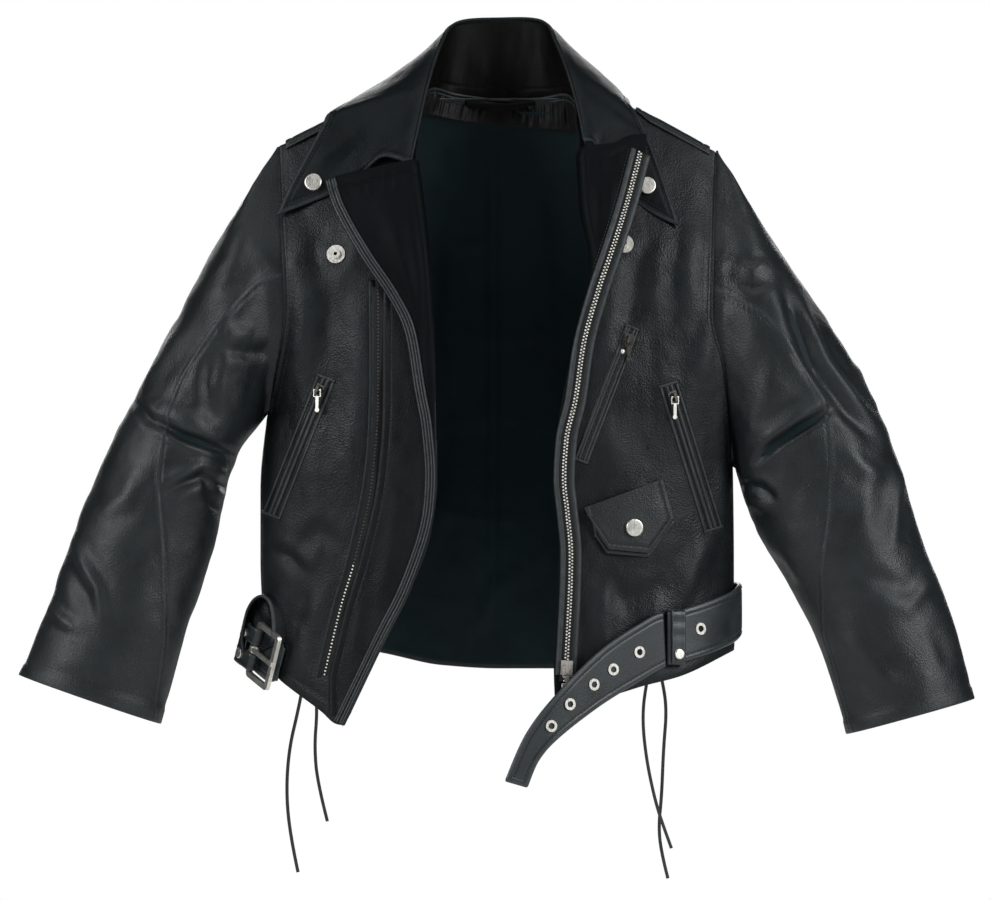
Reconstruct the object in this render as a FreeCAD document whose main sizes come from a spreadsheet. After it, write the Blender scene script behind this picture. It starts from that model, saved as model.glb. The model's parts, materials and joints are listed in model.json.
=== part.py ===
import FreeCAD, Part
import Sketcher
import math
import os

# Leather riding jacket with an off-centre main zip, hanging open on its loop.
# Millimetres. +Z is up, the front faces -Y and +X is the wearer's left. The origin is the top
# of the hanging loop at the back of the neck. Right and left in the names are the wearer's.

V = FreeCAD.Vector
doc = FreeCAD.newDocument("riding_jacket")

SIZES = {
    "leather": 1.8,
    "lining": 0.9,
    "layer_gap": 0.9,
    "low_lift": 1.0,
    "lapel_lift": 10.5,
    "mid_depth": -62.0,
    "shoulder_round": 85.0,
    "armhole_fullness": 0.62,
    "sleeve_start": 0.08,
    "belt_width": 44.0,
    "belt_thick": 3.4,
    "belt_clear": 2.8,
    "keeper_width": 13.0,
    "keeper_thick": 1.6,
    "eyelet_flange": 5.2,
    "eyelet_hole": 2.8,
    "eyelet_rise": 1.2,
    "cap_radius": 7.8,
    "cap_rise": 3.0,
    "cap_round": 1.4,
    "stud_radius": 8.2,
    "stud_rise": 1.4,
    "post_radius": 4.2,
    "post_rise": 3.6,
    "post_hole": 1.6,
    "rivet_radius": 4.6,
    "rivet_rise": 2.2,
    "buckle_high": 52.0,
    "buckle_wide": 40.0,
    "buckle_bar": 5.0,
    "buckle_thick": 3.6,
    "buckle_round": 5.0,
    "window_round": 2.0,
    "prong_wide": 4.0,
    "prong_thick": 2.0,
    "tab_long": 21.0,
    "tab_wide": 38.0,
    "tab_thick": 2.4,
    "tab_slot": 9.0,
    "slot_wide": 10.0,
    "tape_wide": 9.2,
    "chain_wide": 4.6,
    "chain_thick": 2.4,
    "slider_wide": 8.4,
    "slider_long": 10.0,
    "slider_plate": 1.4,
    "bridge_wide": 2.4,
    "bridge_long": 7.0,
    "bridge_high": 5.8,
    "pivot_high": 4.2,
    "pull_wide": 7.0,
    "pull_arm": 0.7,
    "pull_loop": 5.6,
    "pull_bar": 12.0,
    "pull_bar_wide": 2.8,
    "pull_foot": 2.0,
    "pull_thick": 1.2,
    "pin_radius": 0.6,
    "welt_rise": 2.0,
    "lace_radius": 1.5,
    "knot_radius": 5.0,
    "loop_long": 62.0,
    "loop_radius": 1.8,
}

sheet = doc.addObject("Spreadsheet::Sheet", "sizes")
for row, (word, value) in enumerate(SIZES.items(), 1):
    sheet.set(f"A{row}", word)
    sheet.set(f"B{row}", str(value))
    sheet.setAlias(f"B{row}", word)
doc.recompute()


def size(word):
    return float(sheet.get(word))


# ---------------------------------------------------------------- outlines, as seen from the front

RIGHT_SHOULDER = (-197.0, -42.0)
LEFT_SHOULDER = (192.0, -47.0)
RIGHT_ARMPIT = -278.0
LEFT_ARMPIT = -322.0
SHOULDER_SLOPE = 0.5

# height, then the distance across
RIGHT_SIDE = ((-550, -206), (-500, -207), (-405, -212), (-344, -212), (-278, -206), (-180, -190),
              (-100, -194), (-42, -197))
LEFT_SIDE = ((-540, 205), (-485, 207), (-416, 207), (-322, 206), (-238, 198), (-189, 187),
             (-120, 189), (-47, 192))
RIGHT_OPENING = ((-550, -137), (-475, -101), (-431, -79), (-379, -61), (-335, -56), (-250, -57),
                 (-170, -60), (-111, -65), (-56, -72))
LEFT_OPENING = ((-532, 49), (-500, 48), (-440, 51), (-388, 52), (-335, 48), (-300, 50),
                (-240, 60), (-185, 72), (-146, 79), (-100, 71), (-57, 68))
LEFT_ZIP = ((-515, 57), (-400, 62), (-365, 59), (-335, 56), (-300, 58), (-265, 66), (-217, 73),
            (-169, 86), (-134, 98), (-90, 112), (-45, 124))
RIGHT_ZIP = ((-508, -154), (-449, -140), (-405, -127), (-335, -112), (-265, -107), (-160, -107))
RIGHT_LAPEL_EDGE = ((-290, -60), (-256, -66), (-204, -74), (-173, -88), (-134, -114), (-95, -136),
                    (-70, -146))
# share of the way from the side to the opening, then the hem's height
RIGHT_HEM = ((0, -500), (0.2, -515), (0.65, -538), (0.9, -549), (1, -550))
LEFT_HEM = ((0, -485), (0.3, -507), (0.5, -515), (0.7, -524), (1, -532))
BACK_HEM = -500.0

# height, then how far the middle of the front or back stands from the plane of the loop
FRONT_DEPTH = ((-550, -146), (-420, -141), (-300, -141), (-150, -128), (-60, -100), (0, -78), (60, -70))
BACK_DEPTH = ((-550, 12), (-503, 11), (-400, 6), (-300, 15), (-150, 24), (-60, 18), (0, 11.5), (60, 6))

# along the sleeve: outer point across and up, inner point across and up, middle depth,
# half depth, and how far out the front seam lies
RIGHT_SLEEVE = (
    (0.00, -197, -42, -206, -278, -62, 48, 0.52),
    (0.12, -229, -91, -214, -288, -62, 56, 0.60),
    (0.30, -262, -146, -230, -311, -64, 60, 0.64),
    (0.45, -298, -217, -237, -332, -67, 58, 0.70),
    (0.60, -334, -287, -246, -366, -72, 56, 0.58),
    (0.75, -366, -357, -257, -408, -79, 53, 0.34),
    (0.88, -396, -440, -275, -463, -86, 50, 0.14),
    (1.00, -423, -506, -299, -549, -92, 47, 0.03),
)
LEFT_SLEEVE = (
    (0.00, 192, -45, 206, -322, -62, 48, 0.55),
    (0.12, 216, -86, 208, -329, -62, 56, 0.62),
    (0.30, 258, -148, 213, -346, -64, 60, 0.70),
    (0.45, 305, -219, 221, -368, -67, 58, 0.70),
    (0.60, 346, -305, 238, -399, -72, 56, 0.46),
    (0.75, 372, -384, 259, -437, -79, 53, 0.19),
    (0.88, 398, -457, 282, -484, -86, 50, 0.04),
    (1.00, 417, -527, 305, -558, -92, 47, 0.03),
)
BACK_SEAM = 0.5
ARMHOLE_CURVE = 10.0

# the collar, each from the wearer's right end round the back of the neck to the left end
NECK_SEAM = ((-74, -90, -60), (-73, -78, -34), (-70, -54, -8), (-60, -20, 2), (-34, 3, 4), (0, 7, 4),
             (36, 3, 4), (62, -20, 2), (69, -52, -10), (70, -72, -28), (70, -86, -46))
ROLL_LINE = ((-79, -101, -56), (-73, -92, -28), (-63, -72, 14), (-51, -36, 50), (-32, -2, 68),
             (0, 11, 71), (32, -2, 69), (48, -36, 52), (60, -70, 26), (70, -88, -10), (74, -97, -40))
FALL_EDGE = ((-197, -93, -95), (-175, -89, -68), (-146, -78, -25), (-137, -62, 0), (-104, 10, 6),
             (0, 34, 6), (100, 10, 4), (116, -62, 4), (124, -80, -30), (134, -94, -66), (153, -104, -112))


# ---------------------------------------------------------------- plain mathematics

def lerp(a, b, share):
    return a + (b - a) * share


def clamp(value, low, high):
    return max(low, min(high, value))


def smooth_step(value):
    value = clamp(value, 0, 1)
    return value * value * (3 - 2 * value)


def at(table, key, column=1):
    """Value in a table at key, smooth between its rows and level past its ends."""
    if key <= table[0][0]:
        return table[0][column]
    if key >= table[-1][0]:
        return table[-1][column]
    steps = [(b[column] - a[column]) / (b[0] - a[0]) for a, b in zip(table, table[1:])]
    place = max(i for i, entry in enumerate(table[:-1]) if entry[0] <= key)

    def slope(i):
        if i == 0 or i == len(steps):
            return steps[min(i, len(steps) - 1)]
        before, after = steps[i - 1], steps[i]
        if before * after <= 0:
            return 0.0
        return 2 * before * after / (before + after)

    wide = table[place + 1][0] - table[place][0]
    share = (key - table[place][0]) / wide
    low, high = table[place][column], table[place + 1][column]
    bend = share * share * (3 - 2 * share)
    start = share * (1 - share) ** 2 * wide * slope(place)
    end = share * share * (share - 1) * wide * slope(place + 1)
    return lerp(low, high, bend) + start + end


def along(points, share):
    """Point at a share of the way along a smooth line through points."""
    spans = [math.dist(a, b) for a, b in zip(points, points[1:])]
    wanted = clamp(share, 0, 1) * sum(spans)
    place = 0
    while place < len(spans) - 1 and wanted > spans[place]:
        wanted -= spans[place]
        place += 1
    t = wanted / spans[place]
    a = points[max(place - 1, 0)]
    b = points[place]
    c = points[place + 1]
    d = points[min(place + 2, len(points) - 1)]
    return V(*(0.5 * (2 * q + (r - p) * t + (2 * p - 5 * q + 4 * r - s) * t * t
                      + (3 * q - p - 3 * r + s) * t ** 3) for p, q, r, s in zip(a, b, c, d)))


# ---------------------------------------------------------------- the torso's surface

def ridge(x):
    """Height of the shoulder line."""
    shoulder = RIGHT_SHOULDER if x < 0 else LEFT_SHOULDER
    top = RIGHT_SHOULDER[1] + SHOULDER_SLOPE * abs(RIGHT_SHOULDER[0])
    return lerp(top, shoulder[1], abs(x / shoulder[0]))


def side(x, z):
    return at(RIGHT_SIDE if x < 0 else LEFT_SIDE, z)


def torso_depth(x, z, front):
    """Y of the jacket's outer face at a place seen from the front."""
    mid = size("mid_depth")
    top, bottom = (RIGHT_SHOULDER[1], RIGHT_ARMPIT) if x < 0 else (LEFT_SHOULDER[1], LEFT_ARMPIT)
    up = (z - bottom) / (top - bottom)
    swell = math.sin(math.pi * up) if 0 < up < 1 else 0.0
    inward = clamp(1 - x / side(x, z), 0, 1)
    full = (1 - (1 - inward) ** 2.3) ** (1 / (1.8 - 0.8 * math.sqrt(swell)))
    deep = at(FRONT_DEPTH if front else BACK_DEPTH, z)
    edge = lerp(mid, deep, size("armhole_fullness") * swell ** 0.8)
    below = clamp((ridge(x) - z) / size("shoulder_round"), 0, 1)
    crown = (1 - (1 - below) ** 2.2) ** (1 / 2.2)
    return lerp(mid, lerp(edge, deep, full), crown)


def torso_normal(x, z, front):
    """Unit vector out of the torso's face."""
    step = 2.0
    across = torso_depth(x + step, z, front) - torso_depth(x - step, z, front)
    up = torso_depth(x, z + step, front) - torso_depth(x, z - step, front)
    out = V(across / (2 * step), -1, up / (2 * step))
    if not front:
        out = out * -1
    return out.normalize()


def on_torso(x, z, lift=0.0, front=True):
    return V(x, torso_depth(x, z, front), z) + torso_normal(x, z, front) * lift


def frame_at(origin, out, up):
    """Placement whose Z runs out and whose Y runs up."""
    z_way = V(out).normalize()
    y_way = (up - z_way * up.dot(z_way)).normalize()
    return FreeCAD.Placement(origin, FreeCAD.Rotation(y_way.cross(z_way), y_way, z_way, "ZYX"))


# ---------------------------------------------------------------- thin pieces

def even_knots(count, degree=3):
    """Knots and how often each repeats, for a surface that starts and ends on its edge points."""
    spans = count - degree
    return list(range(spans + 1)), [degree + 1] + [1] * (spans - 1) + [degree + 1]


def smooth_surface(rows):
    """Smooth surface that the points of the rows pull into shape."""
    u_knots, u_repeats = even_knots(len(rows))
    v_knots, v_repeats = even_knots(len(rows[0]))
    surface = Part.BSplineSurface()
    surface.buildFromPolesMultsKnots(rows, u_repeats, v_repeats, u_knots, v_knots, False, False, 3, 3)
    return surface


def edges_of(surface):
    u_low, u_high, v_low, v_high = surface.bounds()
    return [surface.uIso(u_low), surface.uIso(u_high), surface.vIso(v_low), surface.vIso(v_high)]


def thin_piece(point, inside, near, far, columns=13, rows=15):
    """Solid between two depths below the surface point(u, v), measured towards inside(u, v)."""
    step = 0.004
    faces = ([], [])
    for i in range(columns):
        u = i / (columns - 1)
        lines = ([], [])
        for j in range(rows):
            v = j / (rows - 1)
            here = point(u, v)
            along_u = point(min(u + step, 1), v) - point(max(u - step, 0), v)
            along_v = point(u, min(v + step, 1)) - point(u, max(v - step, 0))
            inward = along_u.cross(along_v).normalize()
            if inward.dot(inside(u, v) - here) < 0:
                inward = inward * -1
            lines[0].append(here + inward * near)
            lines[1].append(here + inward * far)
        faces[0].append(lines[0])
        faces[1].append(lines[1])
    surfaces = [smooth_surface(grid) for grid in faces]
    walls = [a.makeRuledSurface(b) for a, b in zip(edges_of(surfaces[0]), edges_of(surfaces[1]))]
    shell = Part.makeShell([surface.toShape() for surface in surfaces + walls])
    shell.sewShape()
    solid = Part.makeSolid(shell)
    if solid.Volume < 0:
        solid.reverse()
    return solid


def torso_middle(point):
    """Function giving a point well inside the torso at the same height as point(u, v)."""
    return lambda u, v: V(0, size("mid_depth"), point(u, v).z - 60)


def front_point(right, low=0.0, high=1.0):
    """Front panel: u from the side or armhole to the opening, v from hem to shoulder."""
    side_table, opening, hem = (
        (RIGHT_SIDE, RIGHT_OPENING, RIGHT_HEM) if right else (LEFT_SIDE, LEFT_OPENING, LEFT_HEM))
    shoulder = RIGHT_SHOULDER if right else LEFT_SHOULDER
    neck_top = opening[-1]
    collar_side = 112.0
    margin = 1.6 if right else -1.6

    def point(u, v):
        across = lerp(low, high, u) ** 1.5
        top_x = lerp(shoulder[0], neck_top[1], across)
        drop = smooth_step((collar_side - abs(top_x)) / (collar_side - abs(neck_top[1])))
        top = lerp(ridge(top_x), neck_top[0], drop)
        z = lerp(at(hem, across), top, 1 - (1 - v) ** 1.4)
        x = lerp(at(side_table, z) + margin, at(opening, z), across)
        return V(x, torso_depth(x, z, True), z)

    return point


def back_point(u, v):
    """Back panel: u from the right side round to the left, v from hem to shoulder and neck."""
    turn = math.cos(math.pi * u)
    shoulder = RIGHT_SHOULDER if turn > 0 else LEFT_SHOULDER
    top_x = shoulder[0] * abs(turn)
    top = min(ridge(top_x), 4.0) - 1.0
    z = lerp(BACK_HEM, top, 1 - (1 - v) ** 1.4)
    edge = (at(RIGHT_SIDE, z) + 1.6) if turn > 0 else (at(LEFT_SIDE, z) - 1.6)
    x = edge * abs(turn)
    return V(x, torso_depth(x, z, False), z)


def beside(table, shift):
    return tuple((z, x + shift) for z, x in table)


def sleeve_row(table, s):
    return [at(table, s, column) for column in range(1, 8)]


def sleeve_point(table, start, end, first, last):
    """Sleeve surface: v along it, u round it from the angle first(s) to last(s)."""
    towards_middle = 1 if table is RIGHT_SLEEVE else -1

    def point(u, v):
        s = lerp(start, end, v)
        out_x, out_z, in_x, in_z, mid, half, _ = sleeve_row(table, s)
        turn = lerp(first(s), last(s), u)
        x = lerp(out_x, in_x, (1 - math.cos(turn)) / 2)
        z = lerp(out_z, in_z, (1 - math.cos(turn)) / 2)
        x += towards_middle * ARMHOLE_CURVE * abs(math.sin(turn)) ** 2 * clamp(1 - s / 0.25, 0, 1)
        return V(x, mid - half * math.sin(turn), z)

    return point


def sleeve_middle(table, start, end):
    def inside(u, v):
        out_x, out_z, in_x, in_z, mid, _, _ = sleeve_row(table, lerp(start, end, v))
        return V((out_x + in_x) / 2, mid, (out_z + in_z) / 2)

    return inside


def front_seam(table):
    """Angle of the sleeve's front seam, measured from the outside towards the front."""
    return lambda s: math.acos(clamp(2 * at(table, s, 7) - 1, -1, 1))


# ---------------------------------------------------------------- making the sub-parts

SUBPARTS = []


def keep(made, name):
    made.Label = name
    SUBPARTS.append(made)
    return made


def feature(name, shape, placement=None):
    made = doc.addObject("Part::Feature", name)
    made.Shape = shape
    if placement is not None:
        made.Placement = placement
    return keep(made, name)


def bound(name, kind, **sizes):
    """Part primitive whose sizes are worked out from the sheet."""
    made = doc.addObject(kind, name)
    for prop, formula in sizes.items():
        made.setExpression(prop, formula)
    return made


def copies(shape, placements):
    group = []
    for placement in placements:
        one = shape.copy()
        one.Placement = placement.multiply(one.Placement)
        group.append(one)
    return Part.makeCompound(group)


def plane_of(body, role):
    return next(plane for plane in body.Origin.OriginFeatures if plane.Role == role)


def circle_sketch(body, name, radii):
    """Sketch of circles about the body's axis, each radius bound to a formula."""
    sketch = body.newObject("Sketcher::SketchObject", name)
    sketch.AttachmentSupport = (plane_of(body, "XY_Plane"), [""])
    sketch.MapMode = "FlatFace"
    for radius in radii:
        number = sketch.addGeometry(Part.Circle(V(0, 0, 0), V(0, 0, 1), 3.0), False)
        sketch.addConstraint(Sketcher.Constraint("Coincident", number, 3, -1, 1))
        rule = sketch.addConstraint(Sketcher.Constraint("Radius", number, 3.0))
        sketch.setExpression(f"Constraints[{rule}]", radius)
    return sketch


def pad(body, name, sketch, length):
    made = body.newObject("PartDesign::Pad", name)
    made.Profile = sketch
    made.setExpression("Length", length)
    doc.recompute()
    return made


def top_edges(shape, height):
    names = []
    for number, edge in enumerate(shape.Edges, 1):
        if abs(edge.BoundBox.ZMin - height) < 1e-4 and abs(edge.BoundBox.ZMax - height) < 1e-4:
            names.append(f"Edge{number}")
    return names


def make_cap(name, radius, rise, rounding):
    """Domed cap of a press stud or rivet: a disc with a rounded rim."""
    body = doc.addObject("PartDesign::Body", name)
    disc = pad(body, name + "_disc", circle_sketch(body, name + "_rim", [radius]), rise)
    dome = body.newObject("PartDesign::Fillet", name + "_dome")
    dome.Base = (disc, top_edges(disc.Shape, disc.Length.Value))
    dome.setExpression("Radius", rounding)
    body.Tip = dome
    doc.recompute()
    return body


def make_ring(name, outer, inner, rise):
    """Flat ring, as an eyelet's flange."""
    body = doc.addObject("PartDesign::Body", name)
    pad(body, name + "_flange", circle_sketch(body, name + "_rims", [outer, inner]), rise)
    return body


# ---------------------------------------------------------------- body of the jacket

LEATHER = size("leather")
LINING = size("lining")
GAP = size("layer_gap")
LINING_DEPTH = 9.6

back = thin_piece(back_point, torso_middle(back_point), 0, LEATHER, 25, 15)
feature("back_panel", back)
feature("back_lining", thin_piece(
    lambda u, v: back_point(lerp(0.03, 0.97, u), lerp(0.03, 0.98, v)),
    torso_middle(back_point), LEATHER + 2 * GAP, LEATHER + 2 * GAP + LINING, 25, 15))

fronts = {}
for right, word in ((True, "right"), (False, "left")):
    panel = front_point(right)
    lining = front_point(right, 0.04, 0.97)
    fronts[word] = thin_piece(panel, torso_middle(panel), 0, LEATHER, 17, 19)
    feature(word + "_front_lining", thin_piece(
        lambda u, v, lining=lining: lining(u, lerp(0.04, 0.92, v)),
        torso_middle(lining), LINING_DEPTH, LINING_DEPTH + LINING, 15, 17))

# Facings and lapels. Each stands off the front panel by its lift and is one leather thick. Each
# lapel's top runs from its inner to its outer height.
RIGHT_LAPEL_FOOT = -284.0
RIGHT_LAPEL_TOP = (-70.0, -57.0)
LEFT_LAPEL_FOOT = -528.0
LEFT_LAPEL_TOP = (-57.0, -40.0)
TAPE_REACH = 5.5
LIP_REACH = 6.5


def left_lift(z):
    """How far the left lapel stands off the panel: the collar's wing lies under its top."""
    return lerp(size("low_lift"), size("lapel_lift"), smooth_step((z + 260) / 140))


def right_lift(z):
    return lerp(LEATHER + 2 * GAP, size("lapel_lift"), smooth_step((z + 240) / 120))


def strip_point(inner, outer, low, high, lift):
    """Strip of the front between two lines given by height, lift(z) off the panel."""
    def point(u, v):
        z = lerp(low, high, v)
        return on_torso(lerp(at(inner, z), at(outer, z), u), z, lift(z))

    return point


PLACKET_ENDS = (-536.0, -100.0)
placket = strip_point(beside(RIGHT_ZIP, TAPE_REACH), RIGHT_OPENING, *PLACKET_ENDS, lambda z: GAP)
feature("right_placket", thin_piece(placket, torso_middle(placket), -LEATHER, 0, 7, 17))


def right_lapel_point(u, v):
    z = lerp(RIGHT_LAPEL_FOOT, lerp(*RIGHT_LAPEL_TOP, u), v)
    x = lerp(at(RIGHT_LAPEL_EDGE, z), at(RIGHT_OPENING, z), u)
    return on_torso(x, z, right_lift(z))


def left_lapel_point(u, v):
    z = lerp(LEFT_LAPEL_FOOT, lerp(*LEFT_LAPEL_TOP, u), v)
    x = lerp(at(LEFT_OPENING, z), at(LEFT_ZIP, z) + LIP_REACH, u)
    return on_torso(x, z, left_lift(z))


feature("right_lapel", thin_piece(
    right_lapel_point, torso_middle(right_lapel_point), -LEATHER, 0, 9, 15))
feature("left_lapel", thin_piece(
    left_lapel_point, torso_middle(left_lapel_point), -LEATHER, 0, 7, 25))

# The main zip's two halves, each with its teeth as one bead.
BEAD = size("chain_thick")
BEAD_HALF = 2.6
RIGHT_TEETH = (-506.0, -162.0)
LEFT_TEETH = (-512.0, -50.0)
TAPE_THICK = 0.4


def zip_half(line, low, high, lift):
    bead = strip_point(beside(line, -BEAD_HALF), beside(line, BEAD_HALF), low, high, lift)
    return thin_piece(bead, torso_middle(bead), -BEAD, 0, 4, 21)


feature("right_zip_half", zip_half(RIGHT_ZIP, *RIGHT_TEETH, lambda z: GAP))
feature("left_zip_half", zip_half(
    LEFT_ZIP, *LEFT_TEETH, lambda z: left_lift(z) + LEATHER + TAPE_THICK))

# ---------------------------------------------------------------- collar, neck and shoulders

def collar_between(start, end, low, high, trim):
    def point(u, v):
        share = lerp(trim, 1 - trim, u)
        a = along(start, share)
        b = along(end, share)
        return a + (b - a) * lerp(low, high, v)

    return point


def neck_middle(u, v):
    return V(0, -62, 20)


stand = collar_between(NECK_SEAM, ROLL_LINE, 0.03, 0.95, 0.01)
feature("collar_stand", thin_piece(stand, neck_middle, 0, LEATHER, 25, 7))


COLLAR_ROUND = 7.0


def fall_point(u, v):
    flat = collar_between(ROLL_LINE, FALL_EDGE, 0, 1, 0.005)(u, v)
    rounding = COLLAR_ROUND * math.sin(math.pi * v) * math.sin(math.pi * u) ** 2
    return flat + V(0, 0, rounding)


feature("collar_fall", thin_piece(fall_point, neck_middle, -LEATHER - 0.3, -0.3, 33, 9))


def back_part(left_x, right_x, low, high):
    def point(u, v):
        x, z = lerp(left_x, right_x, u), lerp(low, high, v)
        return V(x, torso_depth(x, z, False), z)

    return point


NECK_FACING = (-64.0, 66.0, -24.0, 0.0)
facing = back_part(*NECK_FACING)
facing_depth = LEATHER + LINING + 4 * GAP
feature("neck_facing", thin_piece(
    facing, torso_middle(facing), facing_depth, facing_depth + LINING, 17, 5))

feature("hanger_loop", Part.makeCylinder(
    size("loop_radius"), size("loop_long"), V(-size("loop_long") / 2, 0, 0), V(1, 0, 0)))


STRAP_ENDS = {True: (-186.0, -140.0), False: (182.0, 122.0)}
STRAP_DROP = 16.0


def epaulette_point(right):
    """Strap lying along the shoulder, from the armhole towards the collar."""
    outer, inner = STRAP_ENDS[right]

    def point(u, v):
        x = lerp(outer, inner, u)
        back_side = v > 0.5
        down = STRAP_DROP * abs(2 * v - 1) ** 2
        z = ridge(x) - down
        return V(x, torso_depth(x, z, not back_side), z)

    return point


def shoulder_middle(point):
    return lambda u, v: point(u, 0.5) - V(0, 0, 60)


straps = [thin_piece(point, shoulder_middle(point), -LEATHER - GAP, -GAP, 9, 13)
          for point in (epaulette_point(True), epaulette_point(False))]
feature("epaulettes", Part.makeCompound(straps))

# ---------------------------------------------------------------- sleeves

HEAD_ENDS = (0.008, 0.045)
LINING_END = 0.97
SLIT = 0.012
heads = []
for word, table in (("right", RIGHT_SLEEVE), ("left", LEFT_SLEEVE)):
    seam = front_seam(table)
    back_angle = -math.acos(2 * BACK_SEAM - 1)
    begin = size("sleeve_start")

    def top_first(s):
        return back_angle + SLIT

    def top_last(s, seam=seam):
        return seam(s) - SLIT

    def under_first(s, seam=seam):
        return seam(s) + SLIT

    def under_last(s):
        return back_angle - SLIT + 2 * math.pi

    def whole_first(s):
        return SLIT

    def whole_last(s):
        return 2 * math.pi - SLIT

    middle = sleeve_middle(table, begin, 1.0)
    top = sleeve_point(table, begin, 1.0, top_first, top_last)
    under = sleeve_point(table, begin, 1.0, under_first, under_last)
    feature(word + "_top_sleeve", thin_piece(top, middle, 0, LEATHER, 19, 17))
    feature(word + "_under_sleeve", thin_piece(under, middle, 0, LEATHER, 15, 17))
    inner_first = begin + 0.01
    tube = sleeve_point(table, inner_first, LINING_END, whole_first, whole_last)
    feature(word + "_sleeve_lining", thin_piece(
        tube, sleeve_middle(table, inner_first, LINING_END), LEATHER + GAP, LEATHER + GAP + LINING, 25, 17))
    ring = sleeve_point(table, *HEAD_ENDS, whole_first, whole_last)
    heads.append(thin_piece(ring, sleeve_middle(table, *HEAD_ENDS), 0, LEATHER, 33, 4))
feature("sleeve_heads", Part.makeCompound(heads))

# ---------------------------------------------------------------- pockets with their zips

def box_between(low, high):
    return Part.makeBox(high[0] - low[0], high[1] - low[1], high[2] - low[2], V(*low))


def joined(name, first, *others):
    """Fusion of Part objects."""
    made = first
    for number, other in enumerate(others, 1):
        fused = doc.addObject("Part::Fuse", f"{name}_join{number}")
        fused.Base = made
        fused.Tool = other
        made = fused
    return made


def cut_from(name, base, tool):
    made = doc.addObject("Part::Cut", name)
    made.Base = base
    made.Tool = tool
    return made


def block(name, wide, long, thick, x, y, z):
    """Box with its sizes and low corner given as formulas."""
    made = bound(name, "Part::Box", Width=long, Length=wide, Height=thick)
    for axis, formula in (("x", x), ("y", y), ("z", z)):
        made.setExpression(f"Placement.Base.{axis}", formula)
    return made


def make_slider(name, placement, scale=1.0):
    """Zip slider: a plate over the teeth and a pierced bridge for the pull."""
    k = f" * {scale}"
    plate = block(name + "_plate", "sizes.slider_wide" + k, "sizes.slider_long" + k,
                  "sizes.slider_plate" + k, "-sizes.slider_wide / 2" + k,
                  "-sizes.slider_long / 2" + k, "0 mm")
    bridge = block(name + "_bridge", "sizes.bridge_wide" + k, "sizes.bridge_long" + k,
                   "(sizes.bridge_high - sizes.slider_plate / 2)" + k, "-sizes.bridge_wide / 2" + k,
                   "-sizes.bridge_long / 2" + k, "sizes.slider_plate / 2" + k)
    eye = block(name + "_eye", "sizes.bridge_wide * 2" + k, "sizes.bridge_long * 0.63" + k,
                "sizes.pin_radius * 3.6" + k, "-sizes.bridge_wide" + k,
                "-sizes.bridge_long * 0.315" + k, "(sizes.pivot_high - sizes.pin_radius * 1.8)" + k)
    made = cut_from(name, joined(name, plate, bridge), eye)
    made.Placement = placement
    return keep(made, name)


def make_pull(name, placement, scale=1.0):
    """Zip pull hanging down -Y from a pin through the slider's bridge: a loop, then a slim bar."""
    k = f" * {scale}"
    loop = block(name + "_loop", "sizes.pull_wide" + k,
                 "(sizes.pull_loop + sizes.pull_arm + sizes.pin_radius)" + k, "sizes.pull_thick" + k,
                 "-sizes.pull_wide / 2" + k, "-(sizes.pull_loop + sizes.pull_arm)" + k,
                 "-sizes.pull_thick / 2" + k)
    window = block(name + "_window", "(sizes.pull_wide - 2 * sizes.pull_arm)" + k,
                   "(sizes.pull_loop + 2 * sizes.pin_radius)" + k, "sizes.pull_thick * 3" + k,
                   "-(sizes.pull_wide / 2 - sizes.pull_arm)" + k, "-sizes.pull_loop" + k,
                   "-sizes.pull_thick * 1.5" + k)
    bar = block(name + "_bar", "sizes.pull_bar_wide" + k, "sizes.pull_bar" + k, "sizes.pull_thick" + k,
                "-sizes.pull_bar_wide / 2" + k, "-(sizes.pull_loop + sizes.pull_bar)" + k,
                "-sizes.pull_thick / 2" + k)
    foot = bound(name + "_foot", "Part::Cylinder", Radius="sizes.pull_foot" + k,
                 Height="sizes.pull_thick" + k)
    foot.setExpression("Placement.Base.y", "-(sizes.pull_loop + sizes.pull_bar)" + k)
    foot.setExpression("Placement.Base.z", "-sizes.pull_thick / 2" + k)
    pin = bound(name + "_pin", "Part::Cylinder", Radius="sizes.pin_radius" + k,
                Height="sizes.pull_wide" + k)
    pin.Placement.Rotation = FreeCAD.Rotation(V(0, 1, 0), 90)
    pin.setExpression("Placement.Base.x", "-sizes.pull_wide / 2" + k)
    made = joined(name, cut_from(name + "_frame", loop, window), pin, bar, foot)
    made.Placement = placement
    return keep(made, name)


SLOT = size("slot_wide") / 2
# top and bottom of the opening as seen from the front, half width of the welt's frame, lift of
# the slider's path off the panel
POCKETS = {
    "right_pocket": ((-157, -256), (-197, -356), 9.5, 3.0),
    "left_pocket": ((151, -262), (184, -368), 9.5, 1.8),
    "chest_pocket": ((112, -212), (75, -308), 7.6, 1.8),
}
PULL_OUT = 0.5
PATHS = {}
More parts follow.
